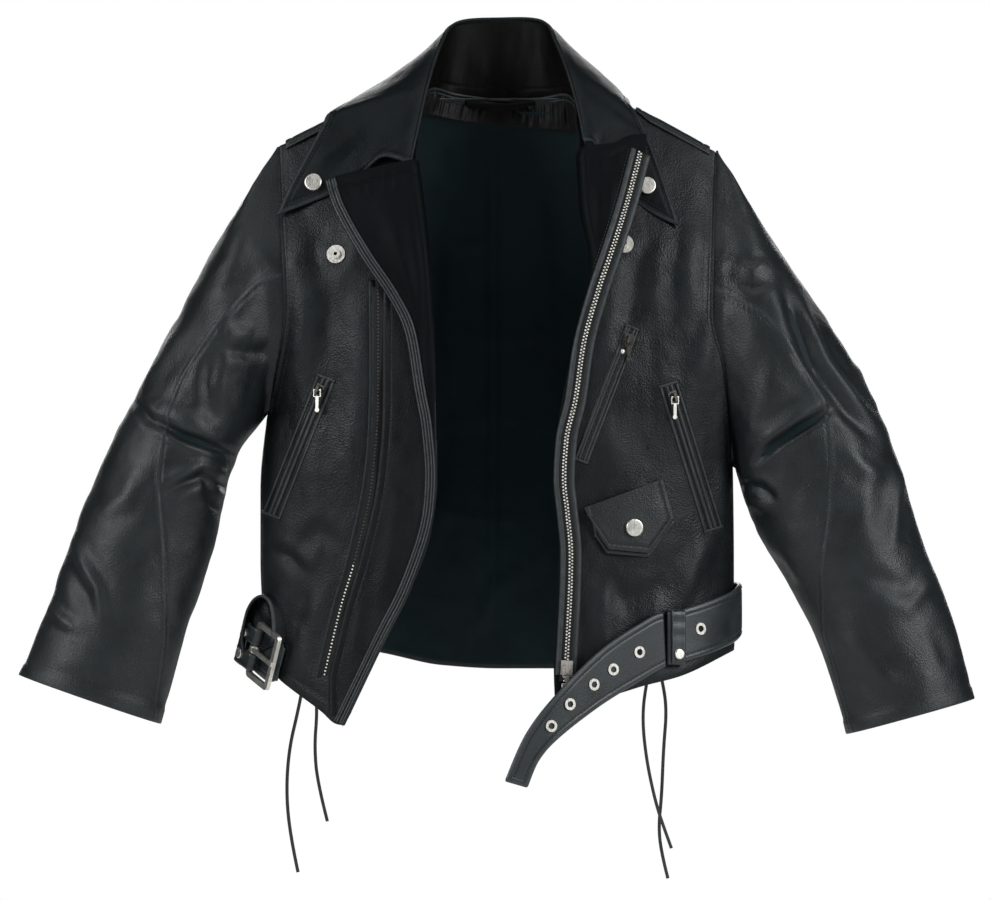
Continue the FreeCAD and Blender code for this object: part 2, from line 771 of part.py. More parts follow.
# how far each pocket's bag hangs below its zip, how far it reaches each side, and its depths
BAG_DROP = {"right_pocket": 26.0, "left_pocket": 26.0, "chest_pocket": 12.0}
BAG_SIDES = (-6.0, 26.0)
BAG_DEPTHS = (6.4, 8.6)
TOP_OF_CHAIN = -0.35
TAPE_DEPTHS = (1.9, 1.1)
END_MARGIN = 1.5
WELT_END = 5.0
chains = []
bags = []
for name, (top, bottom, half_welt, lift) in POCKETS.items():
    upper = on_torso(top[0], top[1], lift)
    lower = on_torso(bottom[0], bottom[1], lift)
    middle = (upper + lower) * 0.5
    along_zip = V(upper - lower).normalize()
    out = torso_normal((top[0] + bottom[0]) / 2, (top[1] + bottom[1]) / 2, True)
    out = (out - along_zip * out.dot(along_zip)).normalize()
    frame = frame_at(middle, out, along_zip)
    length = (upper - lower).Length
    reach = length / 2 + size("slider_long") / 2 + END_MARGIN
    slot = box_between((-SLOT, -reach, -9), (SLOT, reach, 12))
    slot.Placement = frame

    def welt_point(u, v, frame=frame, half_welt=half_welt, reach=reach):
        end = reach + WELT_END
        flat = frame.multVec(V(lerp(-half_welt, half_welt, u), lerp(-end, end, v), 0))
        return on_torso(flat.x, flat.z, GAP)

    def bag_point(u, v, frame=frame, reach=reach, word=name):
        head, foot = frame.multVec(V(0, reach, 0)), frame.multVec(V(0, -reach, 0))
        z = lerp(head.z, foot.z - BAG_DROP[word], v)
        towards = -1 if frame.Base.x > 0 else 1
        x = lerp(head.x, foot.x, v) + lerp(*BAG_SIDES, u) * towards
        return V(x, torso_depth(x, z, True), z)

    welt = thin_piece(welt_point, torso_middle(welt_point), -size("welt_rise"), 0, 5, 21).cut(slot)
    feature(name + "_welt", welt)
    side_name = name.split("_")[0]
    panel_name = "right" if side_name == "right" else "left"
    fronts[panel_name] = fronts[panel_name].cut(slot)
    bag = thin_piece(bag_point, torso_middle(bag_point), *BAG_DEPTHS, 5, 15)
    bags.append(bag)

    bead = box_between((-size("chain_wide") / 2, -reach + 1, TOP_OF_CHAIN - size("chain_thick")),
                       (size("chain_wide") / 2, reach - 1, TOP_OF_CHAIN))
    tape = box_between((-size("tape_wide") / 2, -reach + 1, TOP_OF_CHAIN - TAPE_DEPTHS[0]),
                       (size("tape_wide") / 2, reach - 1, TOP_OF_CHAIN - TAPE_DEPTHS[1]))
    chain = bead.fuse(tape)
    chain.Placement = frame
    chains.append(chain)

    at_top = FreeCAD.Placement(upper, frame.Rotation)
    make_slider(name + "_slider", at_top)
    pivot = at_top.multVec(V(0, 0, size("pivot_high")))
    hang = frame_at(pivot, out + V(0, -PULL_OUT, 0), V(0, 0, 1))
    make_pull(name + "_pull", hang)
    PATHS[name] = {"start": upper, "end": lower, "pivot": pivot,
                   "pin": hang.Rotation.multVec(V(1, 0, 0)), "length": length}
feature("pocket_zip_chains", Part.makeCompound(chains))
feature("pocket_bags", Part.makeCompound(bags))

for word in fronts:
    feature(word + "_front_panel", fronts[word])

# The main zip's slider rests at the foot of the left half and runs up its straight stretch.
MAIN_SCALE = 1.25
MAIN_FOOT = -500.0
MAIN_HEAD = -404.0
MAIN_MIDDLE = (MAIN_FOOT + MAIN_HEAD) / 2
SLIDER_CLEAR = 0.5
chain_lift = size("low_lift") + LEATHER + TAPE_THICK + BEAD + SLIDER_CLEAR
main_foot = on_torso(at(LEFT_ZIP, MAIN_FOOT), MAIN_FOOT, chain_lift)
main_head = on_torso(at(LEFT_ZIP, MAIN_HEAD), MAIN_HEAD, chain_lift)
main_out = torso_normal(at(LEFT_ZIP, MAIN_MIDDLE), MAIN_MIDDLE, True)
main_frame = frame_at(main_foot, main_out, main_head - main_foot)
make_slider("main_zip_slider", main_frame, MAIN_SCALE)
main_pivot = main_frame.multVec(V(0, 0, size("pivot_high") * MAIN_SCALE))
main_hang = frame_at(main_pivot, main_out, V(0, 0, 1))
make_pull("main_zip_pull", main_hang, MAIN_SCALE)
PATHS["main"] = {"start": main_foot, "end": main_head, "pivot": main_pivot,
                 "pin": main_hang.Rotation.multVec(V(1, 0, 0)),
                 "length": (main_head - main_foot).Length}

ZIP_STOP = (57.5, -517.5)
STOP_ROUND = 0.8
stop_frame = frame_at(on_torso(*ZIP_STOP, size("low_lift") + LEATHER + TAPE_THICK), main_out, V(0, 0, 1))
stop = block("zip_stop_block", "sizes.slider_wide", "sizes.slider_long * 0.8", "sizes.chain_thick * 1.4",
             "-sizes.slider_wide / 2", "-sizes.slider_long * 0.4", "0 mm")
rounded_stop = doc.addObject("Part::Fillet", "zip_retainer")
rounded_stop.Base = stop
doc.recompute()
rounded_stop.Edges = [(number, STOP_ROUND, STOP_ROUND) for number in range(1, 13)]
rounded_stop.Placement = stop_frame
keep(rounded_stop, "zip_retainer")

# ---------------------------------------------------------------- coin pocket

FLAP_TOP = ((74, -360), (141, -335))
FLAP_FOOT = ((79, -371), (95, -396), (114, -400), (131, -398), (151, -368))
POUCH_TOP = ((80, -366), (141, -343))
POUCH_FOOT = ((92, -407), (112, -410), (134, -408), (154, -384))
POUCH_THICK = 2.4
FLAP_LIFT = GAP + POUCH_THICK + GAP + 0.6


def flat_along(points, share):
    found = along(tuple((x, z, 0) for x, z in points), share)
    return found.x, found.y


def pocket_piece(top, foot, lift, shares):
    def point(u, v):
        a, b = flat_along(top, u), flat_along(foot, u)
        share = lerp(shares[0], shares[1], v)
        x, z = lerp(a[0], b[0], share), lerp(a[1], b[1], share)
        return on_torso(x, z, lift)

    return point


pouch = pocket_piece(POUCH_TOP, POUCH_FOOT, GAP, (0.06, 1))
feature("coin_pocket", thin_piece(pouch, torso_middle(pouch), -POUCH_THICK, 0, 9, 7))
flap = pocket_piece(FLAP_TOP, FLAP_FOOT, FLAP_LIFT, (0.02, 1))
feature("coin_flap", thin_piece(flap, torso_middle(flap), -LEATHER, 0, 13, 9))
FLAP_HINGE = [on_torso(x, z, FLAP_LIFT + LEATHER / 2) for x, z in FLAP_TOP]

# ---------------------------------------------------------------- press studs

cap = make_cap("cap_master", "sizes.cap_radius", "sizes.cap_rise", "sizes.cap_round")
flange = make_ring("stud_flange", "sizes.stud_radius", "sizes.post_hole", "sizes.stud_rise")
post = make_ring("stud_post", "sizes.post_radius", "sizes.post_hole", "sizes.post_rise")
stud = joined("stud_master", flange, post)
eyelet = make_ring("eyelet_master", "sizes.eyelet_flange", "sizes.eyelet_hole", "sizes.eyelet_rise")
rivet = make_cap("rivet_master", "sizes.rivet_radius", "sizes.rivet_rise", "sizes.rivet_rise * 0.45")
doc.recompute()


def frame_on(point, x, z, lift):
    """Placement on the outer side of a surface at a place seen from the front."""
    best = min(((point(i / 60, j / 30), i / 60, j / 30) for i in range(61) for j in range(31)),
               key=lambda found: math.hypot(found[0].x - x, found[0].z - z) + (found[0].y > -60) * 50)
    here, u, v = best
    along_u = point(min(u + 0.01, 1), v) - point(max(u - 0.01, 0), v)
    along_v = point(u, min(v + 0.02, 1)) - point(u, max(v - 0.02, 0))
    out = along_u.cross(along_v).normalize()
    if out.y > 0:
        out = out * -1
    here = V(x, here.y, z)
    return frame_at(here + out * lift, out, V(0, 0, 1))


COLLAR_CAPS = ((-164, -74), (129, -77))
LAPEL_STUDS = ((-144, -137), (109, -128))
FLAP_CAP = (116, -377)
METAL_CLEAR = 0.3


def frame_off(x, z, lift, front=True):
    """Placement facing out of the torso, level across."""
    return frame_at(on_torso(x, z, lift, front), torso_normal(x, z, front), V(0, 0, 1))


feature("collar_snap_caps", copies(cap.Shape, [
    frame_on(fall_point, x, z, LEATHER + 2 * METAL_CLEAR) for x, z in COLLAR_CAPS]))
feature("lapel_snap_studs", copies(stud.Shape, [frame_off(x, z, METAL_CLEAR) for x, z in LAPEL_STUDS]))
feature("coin_flap_cap", copies(cap.Shape, [frame_off(*FLAP_CAP, FLAP_LIFT + LEATHER + METAL_CLEAR)]))

# ---------------------------------------------------------------- belt

BELT = size("belt_width")
BELT_THICK = size("belt_thick")
BELT_CLEAR = size("belt_clear")
# turn round the waist from the wearer's right side by the back, then the belt's middle height
BELT_MIDDLE = ((0.0, -470), (0.5, -456), (1.2, -448), (3.1, -449), (3.45, -458), (3.9, -474))


def waist_point(turn, z, lift):
    def ring(angle):
        across = math.cos(angle)
        x = side(-1 if across > 0 else 1, z) * abs(across)
        return V(x, torso_depth(x * 0.99999, z, math.sin(angle) < 0), z)

    here = ring(turn)
    out = (ring(turn + 0.02) - ring(turn - 0.02)).cross(V(0, 0, 1)).normalize()
    if out.dot(here - V(0, size("mid_depth"), z)) < 0:
        out = out * -1
    return here + out * lift


def waist_frame(turn, z, lift):
    """Placement on the belt's line: X along it, Y across it and Z outwards."""
    here = waist_point(turn, z, lift)
    up = waist_point(turn, z + 20, lift) - waist_point(turn, z - 20, lift)
    past = lerp(at(BELT_MIDDLE, turn + 0.03), at(BELT_MIDDLE, turn - 0.03), 0.5)
    along_belt = (waist_point(turn + 0.03, past, lift) - waist_point(turn - 0.03, past, lift))
    out = along_belt.cross(up)
    if out.dot(here - V(0, size("mid_depth"), z)) < 0:
        out = out * -1
    return frame_at(here, out, up)


BAND_START = 0.14
BAND_END = math.pi + 0.785


def band_point(u, v):
    turn = lerp(BAND_START, BAND_END, u)
    return waist_point(turn, at(BELT_MIDDLE, turn) + BELT * (v - 0.5), BELT_CLEAR)


def waist_middle(u, v):
    return V(0, size("mid_depth"), -470)


band = thin_piece(band_point, waist_middle, -BELT_THICK, 0, 45, 5)
EYELET_TURN = math.pi + 0.585
HOLE_LONG = 16.0
band_eyelet = waist_frame(EYELET_TURN, -466, BELT_CLEAR + BELT_THICK + 0.2)
hole = Part.makeCylinder(size("eyelet_hole"), HOLE_LONG, V(0, 0, -HOLE_LONG / 2))
hole.Placement = band_eyelet
feature("belt_band", band.cut(hole))
feature("belt_band_eyelet", copies(eyelet.Shape, [band_eyelet]))

TAIL_TOP = ((142, -131, -453), (130, -138, -458), (90, -160, -484), (51, -182, -522), (24, -190, -557),
            (6, -194, -597))
TAIL_FOOT = ((144, -131, -498), (126, -140, -508), (88, -161, -531), (51, -182, -559),
             (33, -188, -579), (23, -191, -602))


def tail_point(u, v):
    a, b = along(TAIL_TOP, u), along(TAIL_FOOT, u)
    return a + (b - a) * v


def behind(u, v):
    return tail_point(u, v) + V(0, 60, 0)


tail = thin_piece(tail_point, behind, -BELT_THICK / 2, BELT_THICK / 2, 15, 5)
TAIL_HOLES = ((121, -486), (98, -501), (81, -514), (60, -531), (44, -550))
tail_frames = [frame_on(tail_point, x, z, BELT_THICK / 2 + 0.2) for x, z in TAIL_HOLES]
for frame in tail_frames:
    hole = Part.makeCylinder(size("eyelet_hole"), HOLE_LONG, V(0, 0, -HOLE_LONG / 2))
    hole.Placement = frame
    tail = tail.cut(hole)
feature("belt_tail", tail)
feature("belt_tail_eyelets", copies(eyelet.Shape, tail_frames))


def make_keeper(name):
    """Leather loop standing round the belt, in the belt's own frame."""
    outer = block(name + "_outer", "sizes.keeper_width", "sizes.belt_width + 2 * sizes.keeper_thick + 1.6",
                  "sizes.belt_thick + 2 * sizes.keeper_thick + 1.4", "-sizes.keeper_width / 2",
                  "-(sizes.belt_width + 2 * sizes.keeper_thick + 1.6) / 2", "-sizes.keeper_thick - 0.7")
    inner = block(name + "_inner", "sizes.keeper_width * 2", "sizes.belt_width + 1.6",
                  "sizes.belt_thick + 1.4", "-sizes.keeper_width", "-(sizes.belt_width + 1.6) / 2", "-0.7")
    return cut_from(name, outer, inner)


KEEPER_TURN = math.pi + 0.735
LOOP_TURNS = (0.95, 2.19)
KEEPER_STUD_DOWN = 15.0
keeper_frame = waist_frame(KEEPER_TURN, at(BELT_MIDDLE, KEEPER_TURN), BELT_CLEAR)
keeper = make_keeper("belt_keeper")
keeper.Placement = keeper_frame
keep(keeper, "belt_keeper")
loop_master = make_keeper("loop_master")
doc.recompute()
feature("belt_loops", copies(loop_master.Shape, [
    waist_frame(turn, at(BELT_MIDDLE, turn), BELT_CLEAR) for turn in LOOP_TURNS]))
feature("keeper_stud", copies(rivet.Shape, [keeper_frame.multiply(FreeCAD.Placement(
    V(0, -KEEPER_STUD_DOWN, BELT_THICK + size("keeper_thick") + 3 * METAL_CLEAR), FreeCAD.Rotation()))]))

# ---------------------------------------------------------------- buckle at the wearer's right

BAR_MIDDLE = V(-216.5, -74, -484)
TO_TIP = V(17, -29, -13).normalize()
buckle_out = TO_TIP.cross(V(0.06, 0, 1)).normalize()
if buckle_out.y > 0:
    buckle_out = buckle_out * -1
buckle_up = buckle_out.cross(TO_TIP)
if buckle_up.z < 0:
    buckle_up = buckle_up * -1
buckle_frame = FreeCAD.Placement(BAR_MIDDLE, FreeCAD.Rotation(TO_TIP, buckle_up, buckle_out, "XYZ"))
EYE_INNER = 3.4
EYE_OUTER = 4.8


def rounded_rectangle(body, name, left, right, top, corner):
    """Sketch of a rectangle with rounded corners, as high above the middle line as below it."""
    sketch = body.newObject("Sketcher::SketchObject", name)
    sketch.AttachmentSupport = (plane_of(body, "XY_Plane"), [""])
    sketch.MapMode = "FlatFace"
    sides = ((left + corner, -top, right - corner, -top), (right, -top + corner, right, top - corner),
             (right - corner, top, left + corner, top), (left, top - corner, left, -top + corner))
    for x1, y1, x2, y2 in sides:
        sketch.addGeometry(Part.LineSegment(V(x1, y1, 0), V(x2, y2, 0)), False)
    corners = ((right - corner, -top + corner, -90), (right - corner, top - corner, 0),
               (left + corner, top - corner, 90), (left + corner, -top + corner, 180))
    for x, y, start in corners:
        circle = Part.Circle(V(x, y, 0), V(0, 0, 1), corner)
        sketch.addGeometry(Part.ArcOfCircle(circle, math.radians(start), math.radians(start + 90)), False)
    return sketch


frame_body = doc.addObject("PartDesign::Body", "buckle_frame")
bar = size("buckle_bar")
far_side = size("buckle_wide") - bar / 2
half_high = size("buckle_high") / 2
outline = rounded_rectangle(frame_body, "buckle_outline", -bar / 2, far_side, half_high,
                            size("buckle_round"))
pad(frame_body, "buckle_pad", outline, "sizes.buckle_thick")
window = rounded_rectangle(frame_body, "buckle_window", bar / 2, far_side - bar, half_high - bar,
                           size("window_round"))
opening = frame_body.newObject("PartDesign::Pocket", "buckle_opening")
opening.Profile = window
opening.Type = 1
opening.Reversed = True
doc.recompute()
frame_body.Placement = buckle_frame.multiply(
    FreeCAD.Placement(V(0, 0, -size("buckle_thick") / 2), FreeCAD.Rotation()))
keep(frame_body, "buckle_frame")



def round_bar(radius, half_long):
    """Cylinder along the buckle's bar, the same length each side of its middle."""
    return Part.makeCylinder(radius, 2 * half_long, V(0, -half_long, 0), V(0, 1, 0))


EYE_HALF_LONG = 3.0
PRONG_PAST_BAR = 1.5
PRONG_CLEAR = 0.4
eye = round_bar(EYE_OUTER, EYE_HALF_LONG)
tongue = Part.makeBox(far_side + PRONG_PAST_BAR, size("prong_wide"), size("prong_thick"),
                      V(0, -size("prong_wide") / 2, size("buckle_thick") / 2 + PRONG_CLEAR))
prong = eye.fuse(tongue).cut(round_bar(EYE_INNER, 2 * EYE_HALF_LONG))
feature("buckle_prong", prong, buckle_frame)

# The tab's leather turns round the bar above and below the prong and lies on the belt's end.
TAB_OUTER = EYE_OUTER + 0.4
TAB_BORE = EYE_INNER + 0.2
TAB_SLOT_BACK = -9.5
RIVETS = ((-14.0, -10.0), (-14.0, 10.0))
tab_half = size("tab_wide") / 2
slot_half = size("tab_slot") / 2
tab_back = box_between((-size("tab_long"), -tab_half, TAB_OUTER - 0.4 - size("tab_thick")),
                       (0, tab_half, TAB_OUTER - 0.4))
tab = round_bar(TAB_OUTER, tab_half).fuse(tab_back)
tab = tab.cut(round_bar(TAB_BORE, 2 * tab_half))
slot_far = 2 * TAB_OUTER
tab = tab.cut(box_between((TAB_SLOT_BACK, -slot_half, -slot_far), (slot_far, slot_half, slot_far)))
feature("buckle_tab", tab, buckle_frame)
feature("buckle_rivets", copies(rivet.Shape, [buckle_frame.multiply(FreeCAD.Placement(
    V(x, y, EYE_OUTER + 0.2), FreeCAD.Rotation())) for x, y in RIVETS]))

# ---------------------------------------------------------------- laces

# points of each hanging lace, from its knot down to its bare end
LACES = {
    "right_lace_outer": ((-173, -13, -500), (-174.5, -12.2, -517), (-179, -12, -540), (-187, -12.5, -574),
                         (-189.5, -13, -612), (-186, -13.5, -650), (-179, -13, -683)),
    "right_lace_inner": ((-167, -13, -500), (-164, -12, -518), (-162, -11, -541), (-164.5, -10.5, -571),
                         (-162, -10, -603), (-153, -10, -638)),
    "left_lace_outer": ((140, 1, -497), (144, 1.6, -513), (148, 2, -539), (145, 2.5, -574),
                        (143.5, 2.2, -615), (140.5, 2, -645), (144, 1.6, -670), (149, 1, -689)),
    "left_lace_inner": ((134, 1, -497), (130, 0, -514), (126, -2, -545), (129.5, -4.5, -582),
                        (137.5, -6.5, -620), (145, -7.5, -643), (152, -8, -662)),
}


def lace(points, radius):
    """Round lace of straight runs joined by tangent arcs, and the radii of its bends."""
    spots = [V(*point) for point in points]
    edges = []
    radii = []
    start = spots[0]
    for before, corner, after in zip(spots, spots[1:], spots[2:]):
        back_way = (before - corner).normalize()
        on_way = (after - corner).normalize()
        turn = math.pi - back_way.getAngle(on_way)
        run = 0.45 * min((before - corner).Length, (after - corner).Length)
        bend = run / math.tan(turn / 2)
        radii.append(bend)
        first, last = corner + back_way * run, corner + on_way * run
        inward = (back_way + on_way).normalize()
        centre = corner + inward * math.hypot(run, bend)
        middle = centre - inward * bend
        edges.append(Part.LineSegment(start, first).toShape())
        edges.append(Part.Arc(first, middle, last).toShape())
        start = last
    edges.append(Part.LineSegment(start, spots[-1]).toShape())
    path = Part.Wire(edges)
    rim = Part.Wire([Part.Circle(spots[0], spots[1] - spots[0], radius).toShape()])
    return path.makePipeShell([rim], True, False), path.Length, radii


for name, points in LACES.items():
    tube, length, radii = lace(points, size("lace_radius"))
    section = math.pi * size("lace_radius") ** 2
    print(name, "length", round(length, 1), "volume share", round(tube.Volume / (section * length), 4),
          "bends", [round(bend) for bend in radii])
    feature(name, tube)

KNOTS = (V(-170, -13, -495.5), V(137, 1, -492.5))
KNOT_ROUND = 2.2
LACE_EYELETS = ((-179, -479), (-161, -479), (128, -479), (146, -479))
knot = bound("knot_block", "Part::Box", Length="sizes.knot_radius * 3", Width="sizes.knot_radius * 1.7",
             Height="sizes.knot_radius * 1.8")
soft_knot = doc.addObject("Part::Fillet", "knot_master")
soft_knot.Base = knot
doc.recompute()
soft_knot.Edges = [(number, KNOT_ROUND, KNOT_ROUND) for number in range(1, 13)]
doc.recompute()
knot_low = V(size("knot_radius") * 1.5, size("knot_radius") * 0.85, size("knot_radius") * 0.9)
feature("lace_knots", copies(soft_knot.Shape, [
    FreeCAD.Placement(spot - knot_low, FreeCAD.Rotation()) for spot in KNOTS]))
feature("lace_eyelets", copies(eyelet.Shape, [
    frame_off(x, z, METAL_CLEAR, False) for x, z in LACE_EYELETS]))

# ---------------------------------------------------------------- writing the files

os.makedirs("parts", exist_ok=True)
doc.recompute()
for made in doc.Objects:
    if "Invalid" in made.State or "Error" in made.State:
        raise RuntimeError(f"{made.Label} failed: {made.State}")
for made in SUBPARTS:
    if made.Shape.isNull() or not made.Shape.isValid():
        raise RuntimeError(f"{made.Label} has no sound shape")
for made in SUBPARTS:
    made.Shape.exportStep(f"parts/{made.Label}.step")
print(len(SUBPARTS), "sub-parts")
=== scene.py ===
import json
import math
import bmesh
import bpy
import numpy as np
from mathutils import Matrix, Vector, kdtree


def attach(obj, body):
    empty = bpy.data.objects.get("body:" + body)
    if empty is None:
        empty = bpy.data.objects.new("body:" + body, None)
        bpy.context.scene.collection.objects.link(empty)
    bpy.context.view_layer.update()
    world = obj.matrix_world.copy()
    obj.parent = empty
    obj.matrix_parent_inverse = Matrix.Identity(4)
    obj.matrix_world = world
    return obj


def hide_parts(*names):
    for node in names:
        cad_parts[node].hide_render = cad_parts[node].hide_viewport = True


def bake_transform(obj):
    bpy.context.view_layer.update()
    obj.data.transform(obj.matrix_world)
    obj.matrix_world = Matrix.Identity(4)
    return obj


# Leather riding jacket hanging open by the loop in its neck. x runs to the wearer's left, y backwards
# and z up. Tables and sizes are in millimetres; every mesh is written in metres.

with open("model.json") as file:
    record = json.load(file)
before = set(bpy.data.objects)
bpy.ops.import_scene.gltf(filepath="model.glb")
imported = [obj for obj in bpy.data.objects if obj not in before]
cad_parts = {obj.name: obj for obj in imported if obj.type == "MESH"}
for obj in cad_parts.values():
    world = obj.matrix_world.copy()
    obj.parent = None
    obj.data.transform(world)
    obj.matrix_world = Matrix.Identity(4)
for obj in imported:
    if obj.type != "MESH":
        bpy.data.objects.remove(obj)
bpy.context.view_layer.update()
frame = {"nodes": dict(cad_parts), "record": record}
MM = 0.001

# ------------------------------------------------------------------ camera, lights, floor

scene = bpy.context.scene
scene.view_settings.view_transform = "Standard"
camera = bpy.data.objects.new("camera", bpy.data.cameras.new("camera"))
scene.collection.objects.link(camera)
camera.data.lens = 491.4
camera.data.clip_end = 50
camera.location = (-0.0040, -12.0, -0.3089)
camera.rotation_euler = (math.pi / 2, 0, 0)
scene.camera = camera

LACES = {
    "right_lace_outer": ((-173, -13, -500), (-174.5, -12.2, -517), (-179, -12, -540), (-187, -12.5, -574),
                         (-189.5, -13, -612), (-186, -13.5, -650), (-179, -13, -683)),
    "right_lace_inner": ((-167, -13, -500), (-164, -12, -518), (-162, -11, -541), (-164.5, -10.5, -571),
                         (-162, -10, -603), (-153, -10, -638)),
    "left_lace_outer": ((140, 1, -497), (144, 1.6, -513), (148, 2, -539), (145, 2.5, -574),
                        (143.5, 2.2, -615), (140.5, 2, -645), (144, 1.6, -670), (149, 1, -689)),
    "left_lace_inner": ((134, 1, -497), (130, 0, -514), (126, -2, -545), (129.5, -4.5, -582),
                        (137.5, -6.5, -620), (145, -7.5, -643), (152, -8, -662)),
}
LACE_RADIUS = 1.5

# ------------------------------------------------------------------ outlines

RIGHT_SHOULDER, LEFT_SHOULDER = (-197.0, -42.0), (192.0, -47.0)
RIGHT_ARMPIT, LEFT_ARMPIT = -278.0, -322.0
RIGHT_SIDE = ((-550, -206), (-500, -207), (-405, -212), (-344, -212), (-278, -206), (-180, -190),
              (-100, -194), (-42, -197))
LEFT_SIDE = ((-540, 205), (-485, 207), (-416, 207), (-322, 206), (-238, 198), (-189, 187),
             (-120, 189), (-47, 192))
RIGHT_OPENING = ((-550, -137), (-475, -101), (-431, -79), (-379, -61), (-335, -56), (-250, -57),
                 (-170, -60), (-111, -65), (-56, -72))
LEFT_OPENING = ((-532, 49), (-500, 48), (-440, 51), (-388, 52), (-335, 48), (-300, 50),
                (-240, 60), (-185, 72), (-146, 79), (-100, 71), (-57, 68))
LEFT_ZIP = ((-515, 57), (-400, 62), (-365, 59), (-335, 56), (-300, 58), (-265, 66), (-217, 73),
            (-169, 86), (-134, 98), (-90, 112), (-45, 124))
RIGHT_ZIP = ((-508, -154), (-449, -140), (-405, -127), (-335, -112), (-265, -107), (-160, -107))
RIGHT_EDGE = ((-550, -139), (-475, -103), (-431, -81), (-379, -63), (-335, -58), (-290, -61),
              (-256, -67), (-204, -76), (-173, -90), (-134, -116), (-95, -138), (-70, -146))
RIGHT_HEM = ((0, -500), (0.2, -515), (0.65, -538), (0.9, -549), (1, -550))
LEFT_HEM = ((0, -485), (0.3, -507), (0.5, -515), (0.7, -524), (1, -532))
BACK_HEM = ((-207, -472), (-150, -479), (-100, -489), (-52, -499), (0, -502), (60, -502), (130, -498),
            (180, -488), (207, -476))
FRONT_DEPTH = ((-550, -146), (-420, -141), (-300, -141), (-150, -128), (-60, -100), (0, -78), (60, -70))
BACK_DEPTH = ((-550, 12), (-503, 11), (-400, 6), (-300, 15), (-150, 24), (-60, 18), (0, 11.5), (60, 6))
RIGHT_SLEEVE = (
    (0.00, -197, -42, -206, -278, -62, 48, 0.52),
    (0.12, -229, -91, -214, -288, -62, 56, 0.60),
    (0.30, -262, -146, -230, -311, -64, 60, 0.64),
    (0.45, -298, -217, -237, -332, -67, 58, 0.70),
    (0.60, -334, -287, -246, -366, -72, 56, 0.58),
    (0.75, -366, -357, -257, -408, -79, 53, 0.34),
    (0.88, -396, -440, -275, -463, -86, 50, 0.14),
    (1.00, -423, -506, -299, -549, -92, 47, 0.03),
)
LEFT_SLEEVE = (
    (0.00, 192, -45, 206, -322, -62, 48, 0.55),
    (0.12, 216, -86, 208, -329, -62, 56, 0.62),
    (0.30, 258, -148, 213, -346, -64, 60, 0.70),
    (0.45, 305, -219, 221, -368, -67, 58, 0.70),
    (0.60, 346, -305, 238, -399, -72, 56, 0.46),
    (0.75, 372, -384, 259, -437, -79, 53, 0.19),
    (0.88, 398, -457, 282, -484, -86, 50, 0.04),
    (1.00, 417, -527, 305, -558, -92, 47, 0.03),
)
NECK_SEAM = ((-74, -90, -60), (-73, -78, -34), (-71, -54, -4), (-62, -20, 11), (-38, 3, 5.5), (0, 7, 1),
             (36, 3, 2.5), (60, -20, 6), (69, -52, -6), (70, -72, -28), (70, -86, -46))
ROLL_LINE = ((-79, -101, -56), (-73, -92, -28), (-64, -72, 13), (-53, -36, 50), (-39, -2, 70.5),
             (0, 11, 74.5), (38, -2, 72), (50, -36, 52), (60, -70, 24), (69, -88, -10), (74, -97, -40))
FALL_EDGE = ((-196, -93, -102), (-184, -91, -75), (-158, -79, -26), (-147, -62, -9), (-108, 10, 4),
             (0, 34, 6), (102, 10, 2), (116, -62, -6), (130, -80, -33), (144, -94, -72), (157, -104, -111))
TORSO_MID = -62.0
UP = np.array([0, 0, 1.0])
LEATHER, LINING_THICK = 1.8, 0.9
BACK_LINING_IN, FRONT_LINING_IN, SLEEVE_LINING_IN = LEATHER + 3.4, 9.6, LEATHER + 1.6
BELT_WIDTH, BELT_THICK, BELT_LIFT = 44.0, 3.4, 4.5
BELT_MIDDLE = ((0.0, -470), (0.5, -456), (1.2, -448), (3.1, -449), (3.45, -458), (3.9, -474))
TAIL_TOP = ((142, -131, -453), (130, -138, -458), (90, -160, -484), (51, -182, -522), (24, -190, -557),
            (6, -194, -597))
TAIL_FOOT = ((144, -131, -498), (126, -140, -508), (88, -161, -531), (51, -182, -559),
             (33, -188, -579), (23, -191, -602))

# ------------------------------------------------------------------ mathematics on arrays

def lerp(a, b, t):
    return a + (b - a) * t


def smooth(t):
    t = np.clip(t, 0, 1)
    return t * t * (3 - 2 * t)


def bell(distance, wide):
    """1 at no distance, falling off smoothly over wide."""
    return np.exp(-(distance / wide) ** 2)


def at(table, key, column=1):
    """Values of a table at keys, smooth between rows and level past the ends."""
    rows = np.array(table, float)
    x, y = rows[:, 0], rows[:, column]
    key = np.clip(np.asarray(key, float), x[0], x[-1])
    steps = np.diff(y) / np.diff(x)
    slopes = np.empty(len(x))
    slopes[0], slopes[-1] = steps[0], steps[-1]
    product = steps[:-1] * steps[1:]
    total = np.where(np.abs(steps[:-1] + steps[1:]) < 1e-12, 1, steps[:-1] + steps[1:])
    slopes[1:-1] = np.where(product <= 0, 0, 2 * product / total)
    place = np.clip(np.searchsorted(x, key, side="right") - 1, 0, len(x) - 2)
    wide = x[place + 1] - x[place]
    t = (key - x[place]) / wide
    bend = t * t * (3 - 2 * t)
    return (lerp(y[place], y[place + 1], bend) + t * (1 - t) ** 2 * wide * slopes[place]
            + t * t * (t - 1) * wide * slopes[place + 1])


